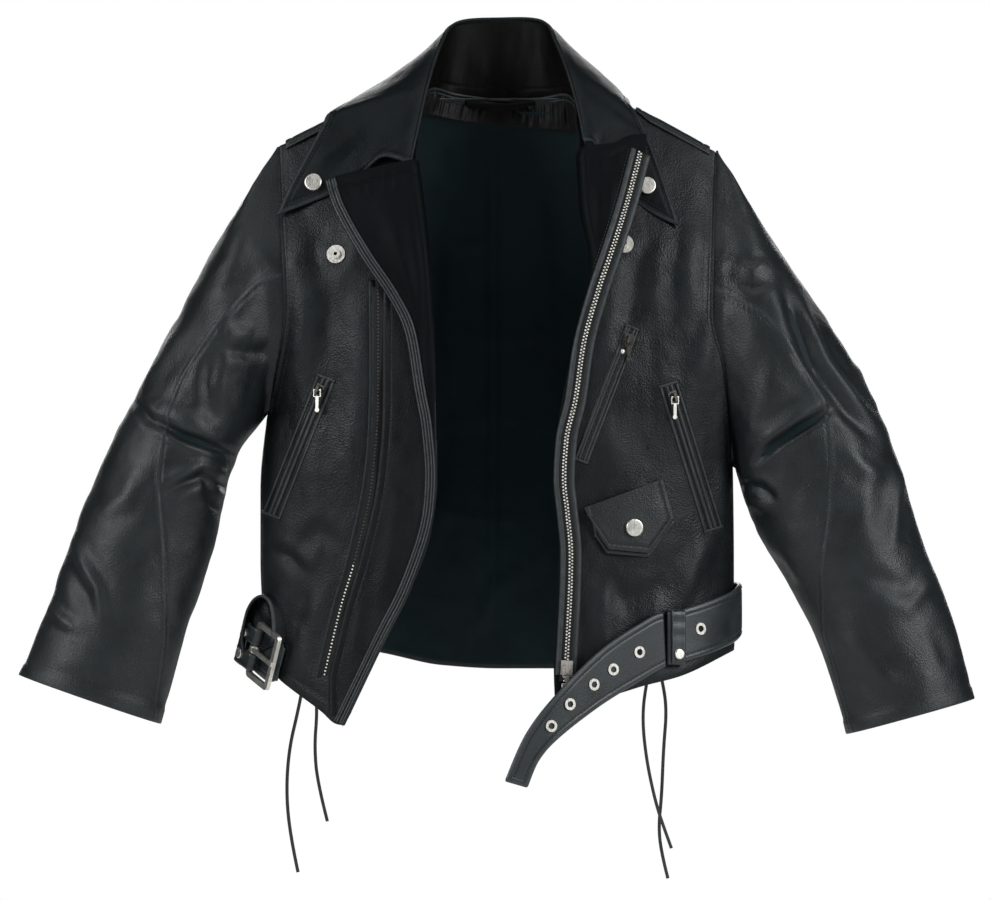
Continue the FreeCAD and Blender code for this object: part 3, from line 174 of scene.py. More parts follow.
def along(points, share):
    """Points at shares of the length of a smooth line through points."""
    p = np.array(points, float)
    spans = np.linalg.norm(np.diff(p, axis=0), axis=1)
    ends = np.concatenate([[0], np.cumsum(spans)])
    wanted = np.clip(np.asarray(share, float), 0, 1) * ends[-1]
    k = np.clip(np.searchsorted(ends, wanted, side="right") - 1, 0, len(spans) - 1)
    t = ((wanted - ends[k]) / spans[k])[..., None]
    a, b, c, d = p[np.maximum(k - 1, 0)], p[k], p[k + 1], p[np.minimum(k + 2, len(p) - 1)]
    return 0.5 * (2 * b + (c - a) * t + (2 * a - 5 * b + 4 * c - d) * t ** 2
                  + (3 * b - a - 3 * c + d) * t ** 3)


def noise(p, scale, seed):
    """Smooth noise from -1 to 1 over points in millimetres; scale is one size or three."""
    q = p / np.asarray(scale, float) + np.array([3.1, 7.7, 5.3]) * (seed + 1)
    cell = np.floor(q).astype(np.int64)
    f = q - cell
    f = f * f * f * (f * (f * 6 - 15) + 10)

    def corner(dx, dy, dz):
        n = ((cell[..., 0] + dx) * 73856093) ^ ((cell[..., 1] + dy) * 19349663)
        n = n ^ ((cell[..., 2] + dz) * 83492791) ^ (seed * 2654435761)
        n = (n ^ (n >> 13)) * 1274126177 & 0xFFFFFFFF
        return ((n ^ (n >> 15)) & 0xFFFF) / 32767.5 - 1

    total = 0
    for dx in (0, 1):
        for dy in (0, 1):
            for dz in (0, 1):
                weight = (f[..., 0] if dx else 1 - f[..., 0]) * (f[..., 1] if dy else 1 - f[..., 1])
                total = total + corner(dx, dy, dz) * weight * (f[..., 2] if dz else 1 - f[..., 2])
    return total


def unit(v):
    return v / np.maximum(np.linalg.norm(v, axis=-1, keepdims=True), 1e-9)


def grid_normals(points, away):
    """Unit normals of a grid of points, turned to the side that away() points to."""
    n = unit(np.cross(np.gradient(points, axis=0), np.gradient(points, axis=1)))
    flip = np.sum(n * away, axis=-1) < 0
    n[flip] *= -1
    return n


def stroke(x, z, points, width):
    """Distance in widths from a polyline seen from the front, signed by side, and the taper."""
    pts = np.array(points, float)
    best = np.full(x.shape, 1e9)
    signed = np.zeros(x.shape)
    place = np.zeros(x.shape)
    spans = np.linalg.norm(np.diff(pts, axis=0), axis=1)
    done = 0.0
    for a, b, span in zip(pts, pts[1:], spans):
        d = (b - a) / span
        t = np.clip((x - a[0]) * d[0] + (z - a[1]) * d[1], 0, span)
        px, pz = x - a[0] - d[0] * t, z - a[1] - d[1] * t
        gap = np.hypot(px, pz)
        nearer = gap < best
        best = np.where(nearer, gap, best)
        signed = np.where(nearer, np.sign(d[0] * pz - d[1] * px) * gap, signed)
        place = np.where(nearer, (done + t) / spans.sum(), place)
        done += span
    taper = np.sin(np.pi * np.clip(place * 0.94 + 0.03, 0, 1)) ** 0.7
    return signed / width, taper


def creases(x, z, strokes):
    """Height of folds: each stroke is (points, width, height); a valley has a height below 0."""
    total = np.zeros(x.shape)
    for points, width, height in strokes:
        d, taper = stroke(x, z, points, width)
        middle = np.exp(-d * d)
        flank = bell(d - 1.7, 1.1) + bell(d + 1.7, 1.1)
        total += height * taper * (middle - 0.38 * flank)
    return total


# ------------------------------------------------------------------ the torso's faces

def ridge(x):
    """Height of the shoulder line."""
    slope = np.where(x < 0, (RIGHT_SHOULDER[1] - 56.5) / RIGHT_SHOULDER[0],
                     (LEFT_SHOULDER[1] - 56.5) / LEFT_SHOULDER[0])
    return 56.5 + slope * x


def side(x, z):
    return np.where(x < 0, at(RIGHT_SIDE, z), at(LEFT_SIDE, z))


def torso_depth(x, z, front):
    """Depth of the torso's front or back face at a point seen from the front."""
    x, z = np.asarray(x, float), np.asarray(z, float)
    mid = TORSO_MID
    top = np.where(x < 0, RIGHT_SHOULDER[1], LEFT_SHOULDER[1])
    bottom = np.where(x < 0, RIGHT_ARMPIT, LEFT_ARMPIT)
    up = (z - bottom) / (top - bottom)
    swell = np.where((up > 0) & (up < 1), np.sin(np.pi * np.clip(up, 0, 1)), 0)

    def eased(power, soft):
        low, high = soft ** (2 * power), (1 + soft ** 2) ** power
        return ((swell ** 2 + soft ** 2) ** power - low) / (high - low)

    inward = np.clip(1 - x / side(x, z), 0, 1)
    full = (1 - (1 - inward) ** 2.3) ** (1 / (1.8 - 0.8 * eased(0.25, 0.1)))
    deep = at(FRONT_DEPTH if front else BACK_DEPTH, z)
    edge = lerp(mid, deep, 0.62 * eased(0.4, 0.08))
    below = np.clip((ridge(x) - z) / 85.0, 0, 1)
    crown = (1 - (1 - below) ** 2.2) ** (1 / 2.2)
    return lerp(mid, lerp(edge, deep, full), crown)


def torso_normal(x, z, front=True):
    across = (torso_depth(x + 2, z, front) - torso_depth(x - 2, z, front)) / 4
    up = (torso_depth(x, z + 2, front) - torso_depth(x, z - 2, front)) / 4
    n = np.stack([across, -np.ones_like(across), up], axis=-1)
    return unit(n if front else -n)


def on_torso(x, z, lift=0.0, front=True):
    x, z = np.broadcast_arrays(np.asarray(x, float), np.asarray(z, float))
    flat = np.stack([x, torso_depth(x, z, front), z], axis=-1)
    return flat + torso_normal(x, z, front) * np.asarray(lift, float)[..., None]


# ------------------------------------------------------------------ meshes

def make_mesh(name, points, faces, material, wear=None):
    """Object from points in millimetres; keeps each point's rest place for the materials."""
    mesh = bpy.data.meshes.new(name)
    points = np.asarray(points, float) * MM
    if isinstance(faces, np.ndarray):
        sizes, loops = np.full(len(faces), faces.shape[1], np.int32), faces.ravel()
    else:
        sizes = np.fromiter((len(f) for f in faces), np.int32)
        loops = np.concatenate([np.asarray(f, np.int32) for f in faces])
    mesh.vertices.add(len(points))
    mesh.vertices.foreach_set("co", points.ravel())
    mesh.loops.add(len(loops))
    mesh.loops.foreach_set("vertex_index", loops)
    mesh.polygons.add(len(sizes))
    mesh.polygons.foreach_set("loop_start", np.concatenate([[0], np.cumsum(sizes)[:-1]]).astype(np.int32))
    mesh.polygons.foreach_set("loop_total", sizes)
    mesh.polygons.foreach_set("use_smooth", np.full(len(sizes), True))
    mesh.update(calc_edges=True)
    mesh.attributes.new("rest", "FLOAT_VECTOR", "POINT").data.foreach_set("vector", points.ravel())
    worn = np.zeros(len(points)) if wear is None else np.asarray(wear, float).ravel()
    mesh.attributes.new("wear", "FLOAT", "POINT").data.foreach_set("value", worn)
    mesh.validate()
    mesh.materials.append(material)
    obj = bpy.data.objects.new(name, mesh)
    scene.collection.objects.link(obj)
    return obj


def quads(nu, nv, around=False):
    i, j = np.arange(nu if around else nu - 1), np.arange(nv - 1)
    a, b = i[:, None] * nv + j, ((i + 1) % nu)[:, None] * nv + j
    return np.stack([a, b, b + 1, a + 1], axis=-1).reshape(-1, 4)


def ring_normals(points, away):
    """Normals of a grid that closes on itself."""
    wide = np.concatenate([points[-1:], points, points[:1]])
    return grid_normals(wide, np.concatenate([away[-1:], away, away[:1]]))[1:-1]


def sheet_piece(name, points, away, thick, material, wear=None, around=False):
    """Closed piece of leather: the grid is its outer face, and its edge is rounded over."""
    nu, nv = points.shape[:2]
    normals = (ring_normals if around else grid_normals)(points, away)
    inner = points - normals * thick
    worn = np.zeros((nu, nv)) if wear is None else wear
    faces = quads(nu, nv, around)
    flip = np.sum(np.cross(points[1, 0] - points[0, 0], points[0, 1] - points[0, 0]) * normals[0, 0]) < 0
    turned = faces[:, ::-1]
    faces = [turned, faces + nu * nv] if flip else [faces, turned + nu * nv]
    index = np.arange(nu * nv).reshape(nu, nv)
    if around:
        rims = [(index[:, 0], points[:, 0] - points[:, 1]), (index[:, -1], points[:, -1] - points[:, -2])]
    else:
        ring = np.concatenate([index[:, 0], index[-1, 1:], index[-2::-1, -1], index[0, -2:0:-1]])
        step = np.zeros_like(points)
        step[:, 0] += unit(points[:, 0] - points[:, 1])
        step[:, -1] += unit(points[:, -1] - points[:, -2])
        step[0] += unit(points[0] - points[1])
        step[-1] += unit(points[-1] - points[-2])
        rims = [(ring, step.reshape(-1, 3)[ring])]
    all_points = [points.reshape(-1, 3), inner.reshape(-1, 3)]
    all_wear = [worn.ravel(), worn.ravel() * 0]
    used = 2 * nu * nv
    flat_n = normals.reshape(-1, 3)
    for ring, step in rims:
        centre = points.reshape(-1, 3)[ring] - flat_n[ring] * thick / 2
        out = unit(step)
        loops = [ring]
        for angle in np.radians((40, 90, 140)):
            all_points.append(centre + flat_n[ring] * (math.cos(angle) * thick / 2)
                              + out * (math.sin(angle) * thick / 2))
            all_wear.append(np.full(len(ring), 0.25))
            loops.append(np.arange(len(ring)) + used)
            used += len(ring)
        loops.append(ring + nu * nv)
        faces += [np.stack([low, np.roll(low, -1), np.roll(high, -1), high], axis=-1)
                  for low, high in zip(loops, loops[1:])]
    obj = make_mesh(name, np.concatenate(all_points), np.concatenate(faces), material,
                    np.concatenate(all_wear))
    fix_normals(obj)
    return obj, normals


def fix_normals(obj):
    work = bmesh.new()
    work.from_mesh(obj.data)
    bmesh.ops.recalc_face_normals(work, faces=work.faces)
    work.to_mesh(obj.data)
    work.free()


class Surface:
    """A finished face, to place other things on it at a point seen from the front."""

    def __init__(self, points, normals):
        seen = normals[..., 1] < -0.1
        self.points, self.normals = points[seen], normals[seen]
        self.tree = kdtree.KDTree(len(self.points))
        for i, p in enumerate(self.points):
            self.tree.insert((p[0], 0, p[2]), i)
        self.tree.balance()

    def __call__(self, x, z, lift=0.0):
        p, n = [], []
        for a, b in zip(x, z):
            hits = self.tree.find_n((float(a), 0, float(b)), 4)
            ids = [h[1] for h in hits]
            w = np.array([1 / (h[2] + 0.05) for h in hits])
            w /= w.sum()
            here, out = self.points[ids], self.normals[ids]
            y = here[:, 1] - ((a - here[:, 0]) * out[:, 0] + (b - here[:, 2]) * out[:, 2]) / out[:, 1]
            p.append((a, float(np.sum(w * y)), b))
            n.append(np.sum(out * w[:, None], axis=0))
        p, n = np.array(p), unit(np.array(n))
        return p + n * lift, n


def run(path):
    """How far along a path each of its points is."""
    return np.concatenate([[0], np.cumsum(np.linalg.norm(np.diff(path, axis=0), axis=1))])


def resample(points, step):
    """Points a step apart along a polyline, and how far along each is."""
    p = np.asarray(points, float)
    ends = run(p)
    count = max(2, int(round(ends[-1] / step)) + 1)
    s = np.linspace(0, ends[-1], count)
    return np.stack([np.interp(s, ends, p[:, k]) for k in range(p.shape[1])], axis=-1), s


def spaced(path, normals, step):
    """Points a step apart on a path, with their normals and the way along it."""
    line, s = resample(path, step)
    out = unit(np.stack([np.interp(s, run(path), normals[:, k]) for k in range(3)], axis=-1))
    return line, out, np.gradient(line, axis=0)


def ribbon(name, path, normals, profile, material, nodes, wear=None, slot="leather"):
    """Strip on the shell along a path: the profile is (across, out) points, left to right."""
    forward = unit(np.gradient(path, axis=0))
    across = unit(np.cross(normals, forward))
    normals = unit(np.cross(forward, across))
    prof = np.array(profile, float)
    pts = path[:, None] + across[:, None] * prof[None, :, 0:1] + normals[:, None] * prof[None, :, 1:2]
    nu, nv = pts.shape[:2]
    faces = [list(f) for f in quads(nv, nu, True)]
    faces.append([k * nu for k in range(nv)])
    faces.append([k * nu + nu - 1 for k in range(nv)][::-1])
    worn = None if wear is None else np.repeat(np.asarray(wear, float), nu)
    obj = make_mesh(name, np.transpose(pts, (1, 0, 2)).reshape(-1, 3), faces, material, worn)
    fix_normals(obj)
    done(obj, "shell", nodes, slot)


def mirrored(half, crest):
    """A profile from its left half and the height at its middle."""
    return (*half, (0, crest), *((-a, b) for a, b in half[::-1]))


def blob_rows(name, places, material, nodes, slot="leather", body="shell", sides=8, ends=None):
    """Many small rounded pieces in one mesh. Each place: centre, long way, out, half sizes."""
    rings = np.array([(-1.0, 0.0), (-0.82, 0.6), (-0.35, 0.95), (0.35, 0.95), (0.82, 0.6), (1.0, 0.0)])
    angle = np.arange(sides) / sides * 2 * math.pi
    template, faces = [], []
    for k, (a, r) in enumerate(rings):
        if r == 0:
            template.append((a, 0, 0))
        else:
            template += [(a, r * math.cos(t), r * math.sin(t)) for t in angle]
    template = np.array(template)
    starts = [0, 1, 1 + sides, 1 + 2 * sides, 1 + 3 * sides]
    for i in range(sides):
        j = (i + 1) % sides
        faces.append((0, 1 + j, 1 + i))
        for s in starts[1:4]:
            faces.append((s + i, s + j, s + sides + j, s + sides + i))
        faces.append((starts[4] + i, starts[4] + j, len(template) - 1))
    centre = np.array([p[0] for p in places])
    way = unit(np.array([p[1] for p in places]))
    out = np.array([p[2] for p in places])
    out = unit(out - way * np.sum(out * way, axis=1, keepdims=True))
    wide = np.cross(way, out)
    half = np.array([p[3] for p in places])
    pts = (centre[:, None] + way[:, None] * template[None, :, 0:1] * half[:, None, 0:1]
           + wide[:, None] * template[None, :, 1:2] * half[:, None, 1:2]
           + out[:, None] * template[None, :, 2:3] * half[:, None, 2:3])
    every = []
    for n in range(len(places)):
        every += [tuple(v + n * len(template) for v in f) for f in faces]
    done(make_mesh(name, pts.reshape(-1, 3), every, material), body, nodes, slot, ends)


# ------------------------------------------------------------------ materials

def nodes_of(name):
    material = bpy.data.materials.new(name)
    material.use_nodes = True
    tree = material.node_tree
    tree.nodes.clear()
    out = tree.nodes.new("ShaderNodeOutputMaterial")
    shader = tree.nodes.new("ShaderNodeBsdfPrincipled")
    tree.links.new(shader.outputs[0], out.inputs[0])
    place = tree.nodes.new("ShaderNodeAttribute")
    place.attribute_name = "rest"
    return material, tree, shader, place.outputs["Vector"]


def add(tree, kind, inputs=(), **settings):
    node = tree.nodes.new(kind)
    for key, value in settings.items():
        setattr(node, key, value)
    for key, value in dict(inputs).items():
        if isinstance(value, bpy.types.NodeSocket):
            tree.links.new(value, node.inputs[key])
        else:
            node.inputs[key].default_value = value
    return node


def textured(tree, place, scale, detail=2.0, rough=0.5, stretch=None):
    vector = place
    if stretch:
        vector = add(tree, "ShaderNodeVectorMath", {0: place, 1: stretch}, operation="MULTIPLY").outputs[0]
    return add(tree, "ShaderNodeTexNoise", {"Vector": vector, "Scale": scale, "Detail": detail,
                                            "Roughness": rough}).outputs["Fac"]


def ranged(tree, value, low, high, start=0.3, end=0.7):
    return add(tree, "ShaderNodeMapRange", {"Value": value, "From Min": start, "From Max": end,
                                            "To Min": low, "To Max": high}).outputs[0]


def mixed(tree, share, a, b):
    node = tree.nodes.new("ShaderNodeMix")
    node.data_type = "RGBA"
    for socket, value in ((node.inputs[0], share), (node.inputs[6], a), (node.inputs[7], b)):
        if isinstance(value, bpy.types.NodeSocket):
            tree.links.new(value, socket)
        else:
            socket.default_value = value
    return node.outputs[2]


def bumped(tree, height, distance, strength, below=None):
    node = add(tree, "ShaderNodeBump", {"Height": height, "Distance": distance, "Strength": strength})
    if below is not None:
        tree.links.new(below, node.inputs["Normal"])
    return node.outputs[0]


def leather(name, dark, light, worn, rough=(0.36, 0.5), grain=0.35, cell=1.25, coat=0.0, specular=0.5):
    """Grained leather: pebbles, pores, soft wrinkles, uneven dye and paler worn edges; with a very pale worn
    colour the paler edges are also painted highlight lines.
    """
    material, tree, shader, place = nodes_of(name)
    wobble = add(tree, "ShaderNodeTexNoise",
                 {"Vector": place, "Scale": 420.0, "Detail": 1.0}).outputs["Color"]
    moved = add(tree, "ShaderNodeVectorMath", {0: wobble, "Scale": 0.0012}, operation="SCALE").outputs[0]
    spot = add(tree, "ShaderNodeVectorMath", {0: place, 1: moved}, operation="ADD").outputs[0]
    pebble = add(tree, "ShaderNodeTexVoronoi", feature="SMOOTH_F1")
    for key, value in (("Scale", 1000.0 / cell), ("Randomness", 1.0), ("Smoothness", 0.35)):
        pebble.inputs[key].default_value = value
    tree.links.new(spot, pebble.inputs["Vector"])
    pores = textured(tree, place, 2600.0, 2.0)
    wrinkle = textured(tree, place, 210.0, 5.0, 0.62)
    patch = textured(tree, place, 26.0, 4.0, 0.6)
    broad = textured(tree, place, 9.0, 2.0)
    first = bumped(tree, wrinkle, 0.0011, 0.13)
    second = bumped(tree, pebble.outputs["Distance"], 0.00042, grain, first)
    third = bumped(tree, pores, 0.00012, 0.25, second)
    tree.links.new(third, shader.inputs["Normal"])
    dyed = mixed(tree, ranged(tree, patch, 0.0, 1.0), dark + (1,), light + (1,))
    wear = add(tree, "ShaderNodeAttribute", attribute_name="wear").outputs["Fac"]
    rubbed_and_highlit = add(tree, "ShaderNodeMath", {0: wear, 1: ranged(tree, wrinkle, 0.55, 1.15)},
                 operation="MULTIPLY", use_clamp=True).outputs[0]
    tree.links.new(mixed(tree, rubbed_and_highlit, dyed, worn + (1,)), shader.inputs["Base Color"])
    spread = {0: ranged(tree, patch, *rough), 1: ranged(tree, broad, -0.04, 0.05)}
    spread = add(tree, "ShaderNodeMath", spread, operation="ADD").outputs[0]
    tree.links.new(spread, shader.inputs["Roughness"])
    shader.inputs["Specular IOR Level"].default_value = specular
    shader.inputs["Coat Weight"].default_value = coat
    shader.inputs["Coat Roughness"].default_value = 0.32
    return material


WEAVE_PITCH = 0.35


def cloth(name, dark, light, rough):
    """Fine woven lining with a soft sheen."""
    material, tree, shader, place = nodes_of(name)
    across, upward = (add(tree, "ShaderNodeTexWave", {"Vector": place, "Scale": 314.0 / WEAVE_PITCH,
                                                      "Distortion": 0.6, "Detail": 1.0},
                          bands_direction=axis).outputs["Fac"] for axis in "XZ")
    woven = add(tree, "ShaderNodeMath", {0: across, 1: upward}, operation="ADD").outputs[0]
    crumple = textured(tree, place, 90.0, 6.0, 0.6)
    first = bumped(tree, crumple, 0.0016, 0.25)
    tree.links.new(bumped(tree, woven, 0.00008, 0.3, first), shader.inputs["Normal"])
    patch = textured(tree, place, 14.0, 4.0, 0.6)
    tree.links.new(mixed(tree, ranged(tree, patch, 0, 1), dark + (1,), light + (1,)),
                   shader.inputs["Base Color"])
    tree.links.new(ranged(tree, patch, rough - 0.05, rough + 0.08), shader.inputs["Roughness"])
    shader.inputs["Sheen Weight"].default_value = 0.05
    shader.inputs["Sheen Roughness"].default_value = 0.4
    shader.inputs["Specular IOR Level"].default_value = 0.15
    return material


def metal(name, color, shade, rough):
    """Plated metal with faint brushing and darker tarnish in patches."""
    material, tree, shader, place = nodes_of(name)
    patch = textured(tree, place, 320.0, 3.0)
    brushed = textured(tree, place, 900.0, 2.0, 0.5, (1.0, 1.0, 0.15))
    tree.links.new(mixed(tree, ranged(tree, patch, 0, 1, 0.45, 0.75), color + (1,), shade + (1,)),
                   shader.inputs["Base Color"])
    tree.links.new(ranged(tree, brushed, rough, rough + 0.14), shader.inputs["Roughness"])
    tree.links.new(bumped(tree, brushed, 0.00003, 0.08), shader.inputs["Normal"])
    shader.inputs["Metallic"].default_value = 1.0
    return material


def plain(name, color, shade, rough, fine=600.0):
    """Matt stuff with a faint mottle."""
    material, tree, shader, place = nodes_of(name)
    patch = textured(tree, place, fine, 3.0)
    tree.links.new(mixed(tree, ranged(tree, patch, 0, 1), color + (1,), shade + (1,)),
                   shader.inputs["Base Color"])
    tree.links.new(ranged(tree, patch, rough, rough + 0.15), shader.inputs["Roughness"])
    tree.links.new(bumped(tree, patch, 0.0001, 0.3), shader.inputs["Normal"])
    return material


HIDE = leather("leather_black", (0.0042, 0.0062, 0.0070), (0.0090, 0.0118, 0.0130), (0.036, 0.042, 0.045),
               (0.38, 0.52), 0.58, specular=0.42)
# painted shade: the same hide as leather_black with darker dye and lower specular, so the fronts, the right
# zip's lip and the fold in the buckle tab's arch render darker than the back and sleeves
SHADED_HIDE = leather("leather_body_painted_shade", (0.0024, 0.0037, 0.0043), (0.0056, 0.0074, 0.0083), (0.036, 0.042, 0.045),
               (0.36, 0.52), 0.62, 1.5, specular=0.25)
# painted shade: a still darker copy of the hide for the right placket, which sits set back beside the zip
SHADED_PLACKET = leather("leather_placket_painted_shade", (0.0020, 0.0031, 0.0036), (0.0042, 0.0056, 0.0063),
                  (0.034, 0.039, 0.042), (0.38, 0.54), 0.55, specular=0.19)
# painted shade: the same hide made darker and less shiny for the collar's fall, whose upturned wings would
# otherwise catch more light
SHADED_COLLAR = leather("leather_collar_painted_shade", (0.0028, 0.0044, 0.0052), (0.0060, 0.0082, 0.0092), (0.052, 0.058, 0.062),
                 (0.40, 0.54), 0.45, 1.1, specular=0.15)
# partly painted highlight: the worn colour is very pale, so the ridges marked on the lapel's edge band,
# welts, piping, lips and buckle arch show bright lines that are partly worn edges and partly painted
# highlight lines
EDGE = leather("leather_edge", (0.0040, 0.0058, 0.0066), (0.0080, 0.0104, 0.0116), (0.150, 0.158, 0.162),
               (0.36, 0.48), 0.4, 0.9, specular=0.25)
FACE = leather("leather_facing", (0.0016, 0.0025, 0.0031), (0.0032, 0.0045, 0.0054), (0.03, 0.034, 0.037),
               (0.52, 0.66), 0.3, 1.1, specular=0.07)
TRIM = leather("leather_trim", (0.0060, 0.0080, 0.0092), (0.0120, 0.0148, 0.0164), (0.060, 0.066, 0.070),
               (0.38, 0.50), 0.35, 0.9, specular=0.4)
STRAP = leather("leather_belt", (0.0100, 0.0135, 0.0150), (0.0180, 0.0228, 0.0248), (0.066, 0.075, 0.080),
                (0.34, 0.46), 0.26, 1.0, 0.08, specular=0.5)
STAND = leather("leather_stand", (0.0020, 0.0017, 0.0016), (0.0046, 0.0038, 0.0034), (0.022, 0.019, 0.018),
                (0.46, 0.60), 0.4, 1.2, specular=0.09)
CORD = leather("leather_lace", (0.020, 0.021, 0.022), (0.040, 0.042, 0.044), (0.05, 0.05, 0.05),
               (0.45, 0.6), 0.4, 0.6, specular=0.35)
LINING = cloth("lining_satin", (0.0028, 0.0100, 0.0126), (0.0064, 0.0180, 0.0212), 0.5)
RUCHED = cloth("facing_cloth", (0.0046, 0.0044, 0.0042), (0.0120, 0.0112, 0.0106), 0.36)
THREAD = plain("thread_black", (0.006, 0.0065, 0.007), (0.014, 0.015, 0.016), 0.5)
TAPE = plain("zip_tape", (0.0020, 0.0024, 0.0028), (0.0045, 0.005, 0.0055), 0.8, 1500.0)
GLOOM = metal("metal_in_shade", (0.10, 0.095, 0.085), (0.04, 0.038, 0.034), 0.45)
NICKEL = metal("nickel", (0.82, 0.78, 0.72), (0.66, 0.62, 0.57), 0.30)
TOOTH = metal("zip_metal", (0.90, 0.87, 0.80), (0.66, 0.62, 0.54), 0.34)
# painted shade: near-black discs laid into holes and eyelets, where there is only shade
HOLE_SHADE = plain("hole_painted_shade", (0.0015, 0.0015, 0.0015), (0.003, 0.003, 0.003), 0.9)

# ------------------------------------------------------------------ laces first

def nurbs_lace(name, points):
    curve = bpy.data.curves.new(name, "CURVE")
    curve.dimensions = "3D"
    curve.resolution_u = 16
    curve.bevel_depth = LACE_RADIUS * MM
    curve.bevel_resolution = 4
    curve.use_fill_caps = True
    spline = curve.splines.new("NURBS")
    spline.points.add(len(points) - 1)
    for target, p in zip(spline.points, points):
        target.co = (p[0] * MM, p[1] * MM, p[2] * MM, 1.0)
    spline.order_u = 3
    spline.use_endpoint_u = True
    curve.materials.append(CORD)
    obj = bpy.data.objects.new(name, curve)
    scene.collection.objects.link(obj)
    return obj


for word, points in LACES.items():
    piece = nurbs_lace(word + "_cord", points)
    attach(piece, "shell")
    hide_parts(word)


def done(obj, body="shell", nodes=(), slot="leather", ends=None):
    """Rides its body, or, given ends, only has its placement baked into its mesh; hides its CAD nodes; its
    finish (slot) is not used.
    """
    if ends is None:
        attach(obj, body)
    else:
        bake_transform(obj)
    if nodes:
        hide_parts(*nodes)


def cut_size(points):
    """Width, length and area in metres of a piece before its folds are put in."""
    rows = np.linalg.norm(np.diff(points, axis=0), axis=2).sum(axis=0)
    columns = np.linalg.norm(np.diff(points, axis=1), axis=2).sum(axis=1)
    a = points[1:, :-1] - points[:-1, :-1]
    b = points[:-1, 1:] - points[:-1, :-1]
    area = np.linalg.norm(np.cross(a, b), axis=2).sum()
    return float(rows.max() * MM), float(columns.max() * MM), float(area * MM * MM)


def sewn_sheet(flat_points):
    wide, long, area = cut_size(flat_points)
    wide = min(wide, area / long / 0.35)


def panel(name, base, out, lift, material, nodes, rests_on=None, wear=None, thick=LEATHER, body="shell",
          slot="leather", ends=None):
    """Leather or cloth raised by lift over its base, whose size is the flat size of the sheet."""
    points = base + out * lift[..., None]
    piece, normals = sheet_piece(name, points, out, thick, material, wear)
    done(piece, body, nodes, slot, ends)
    if rests_on:
        sewn_sheet(base)
    return points, normals


# ------------------------------------------------------------------ body panels

def panel_noise(p, seed):
    return (1.25 * noise(p, (46, 46, 95), seed) + 0.55 * noise(p, (20, 22, 34), seed + 1)
            + 0.16 * noise(p, (8, 8, 11), seed + 2))


def front_grid(right, u, v):
    """Outline of one front: u runs from side seam to opening, v from hem to shoulder."""
    opening, hem = (RIGHT_OPENING, RIGHT_HEM) if right else (LEFT_OPENING, LEFT_HEM)
    shoulder = RIGHT_SHOULDER if right else LEFT_SHOULDER
    side_table = RIGHT_SIDE if right else LEFT_SIDE
    neck_z, neck_x = opening[-1]
    across = (u ** 1.2)[:, None]
    top_x = lerp(shoulder[0], neck_x, across)
    drop = smooth((112.0 - np.abs(top_x)) / (112.0 - abs(neck_x)))
    top = lerp(ridge(top_x), neck_z, drop)
    z = lerp(at(hem, across), top, 1 - (1 - v[None, :]) ** 1.25)
    x = lerp(at(side_table, z) + (0.6 if right else -0.6), at(opening, z), across)
    return x, z


RIGHT_FOLDS = (
    (((-121, -165), (-122, -235), (-130, -330)), 13, 1.7),
    (((-176, -130), (-174, -200), (-184, -262)), 11, 1.3),
    (((-150, -160), (-151, -240)), 12, -1.1),
    (((-183, -400), (-160, -380), (-140, -395)), 9, -1.0),
    (((-150, -420), (-172, -470), (-176, -510)), 9, 1.2),
    (((-200, -395), (-186, -402), (-170, -420)), 6, -1.2),
    (((-118, -100), (-150, -180)), 14, 0.8),
    (((-188, -70), (-165, -120), (-150, -170)), 12, -0.9),
)
LEFT_FOLDS = (
    (((121, -135), (116, -175), (108, -215)), 10, -1.3),
    (((168, -110), (166, -150), (172, -200)), 11, 1.6),
    (((190, -170), (183, -205), (178, -250)), 8, 1.1),
    (((150, -95), (142, -140), (140, -200)), 10, 0.9),
    (((160, -210), (158, -250)), 9, -0.8),
    (((90, -280), (110, -330)), 12, 0.8),
    (((80, -415), (110, -440), (150, -430)), 10, -1.1),
    (((185, -385), (170, -415), (160, -440)), 9, 1.2),
    (((95, -420), (90, -455)), 8, 1.0),
    (((200, -260), (196, -320), (200, -390)), 8, 1.0),
)


def seam_profile(d, wide=1.0):
    """Height beside a topstitched seam, d millimetres to the seam's fuller side."""
    groove = bell(d, 0.9 * wide)
    roll = bell(d - 2.2 * wide, 1.5 * wide)
    return -0.75 * groove + 0.45 * roll


METAL_SPOTS = ((-144.4, -136.6), (109.3, -127.5), (-157, -256), (151, -262), (112, -212))
fronts = {}
for right, word, folds in ((True, "right", RIGHT_FOLDS), (False, "left", LEFT_FOLDS)):
    u, v = np.linspace(0, 1, 165), np.linspace(0, 1, 285)
    x, z = front_grid(right, u, v)
    flat = on_torso(x, z)
    out = torso_normal(x, z)
    height = 1.7 * creases(x, z, folds) + 1.5 * panel_noise(flat, 3 if right else 9)
    edge_fade = smooth(np.minimum(u, 1 - u)[:, None] * 14)
    for stud_x, stud_z in METAL_SPOTS:
        height = height * smooth((np.hypot(x - stud_x, z - stud_z) - 4) / 16)
    hem_table = RIGHT_HEM if right else LEFT_HEM
    above_hem = z - at(hem_table, (u ** 1.2)[:, None])
    height = height * edge_fade * smooth(above_hem / 26)
    height += 0.5 * bell(above_hem - 5, 4) - 0.5 * bell(above_hem - 11, 1.0)
    waist = bell(above_hem - 62, 22)
    height += waist * 1.1 * noise(flat, (13, 30, 60), 21) * edge_fade
    arm = np.abs(x - at(RIGHT_SIDE if right else LEFT_SIDE, z))
    armhole = (z > (RIGHT_ARMPIT if right else LEFT_ARMPIT))
    height += np.where(armhole, seam_profile(arm - 1.2), 0) * 0.9
    wear = np.clip(height * 0.1, 0, 0.2) + np.where(armhole, 0.35 * bell(arm - 3.4, 1.2), 0)
    fronts[word] = Surface(*panel(word + "_front_leather", flat, out, height, SHADED_HIDE, [word + "_front_panel"],
                                  "back_leather", wear))


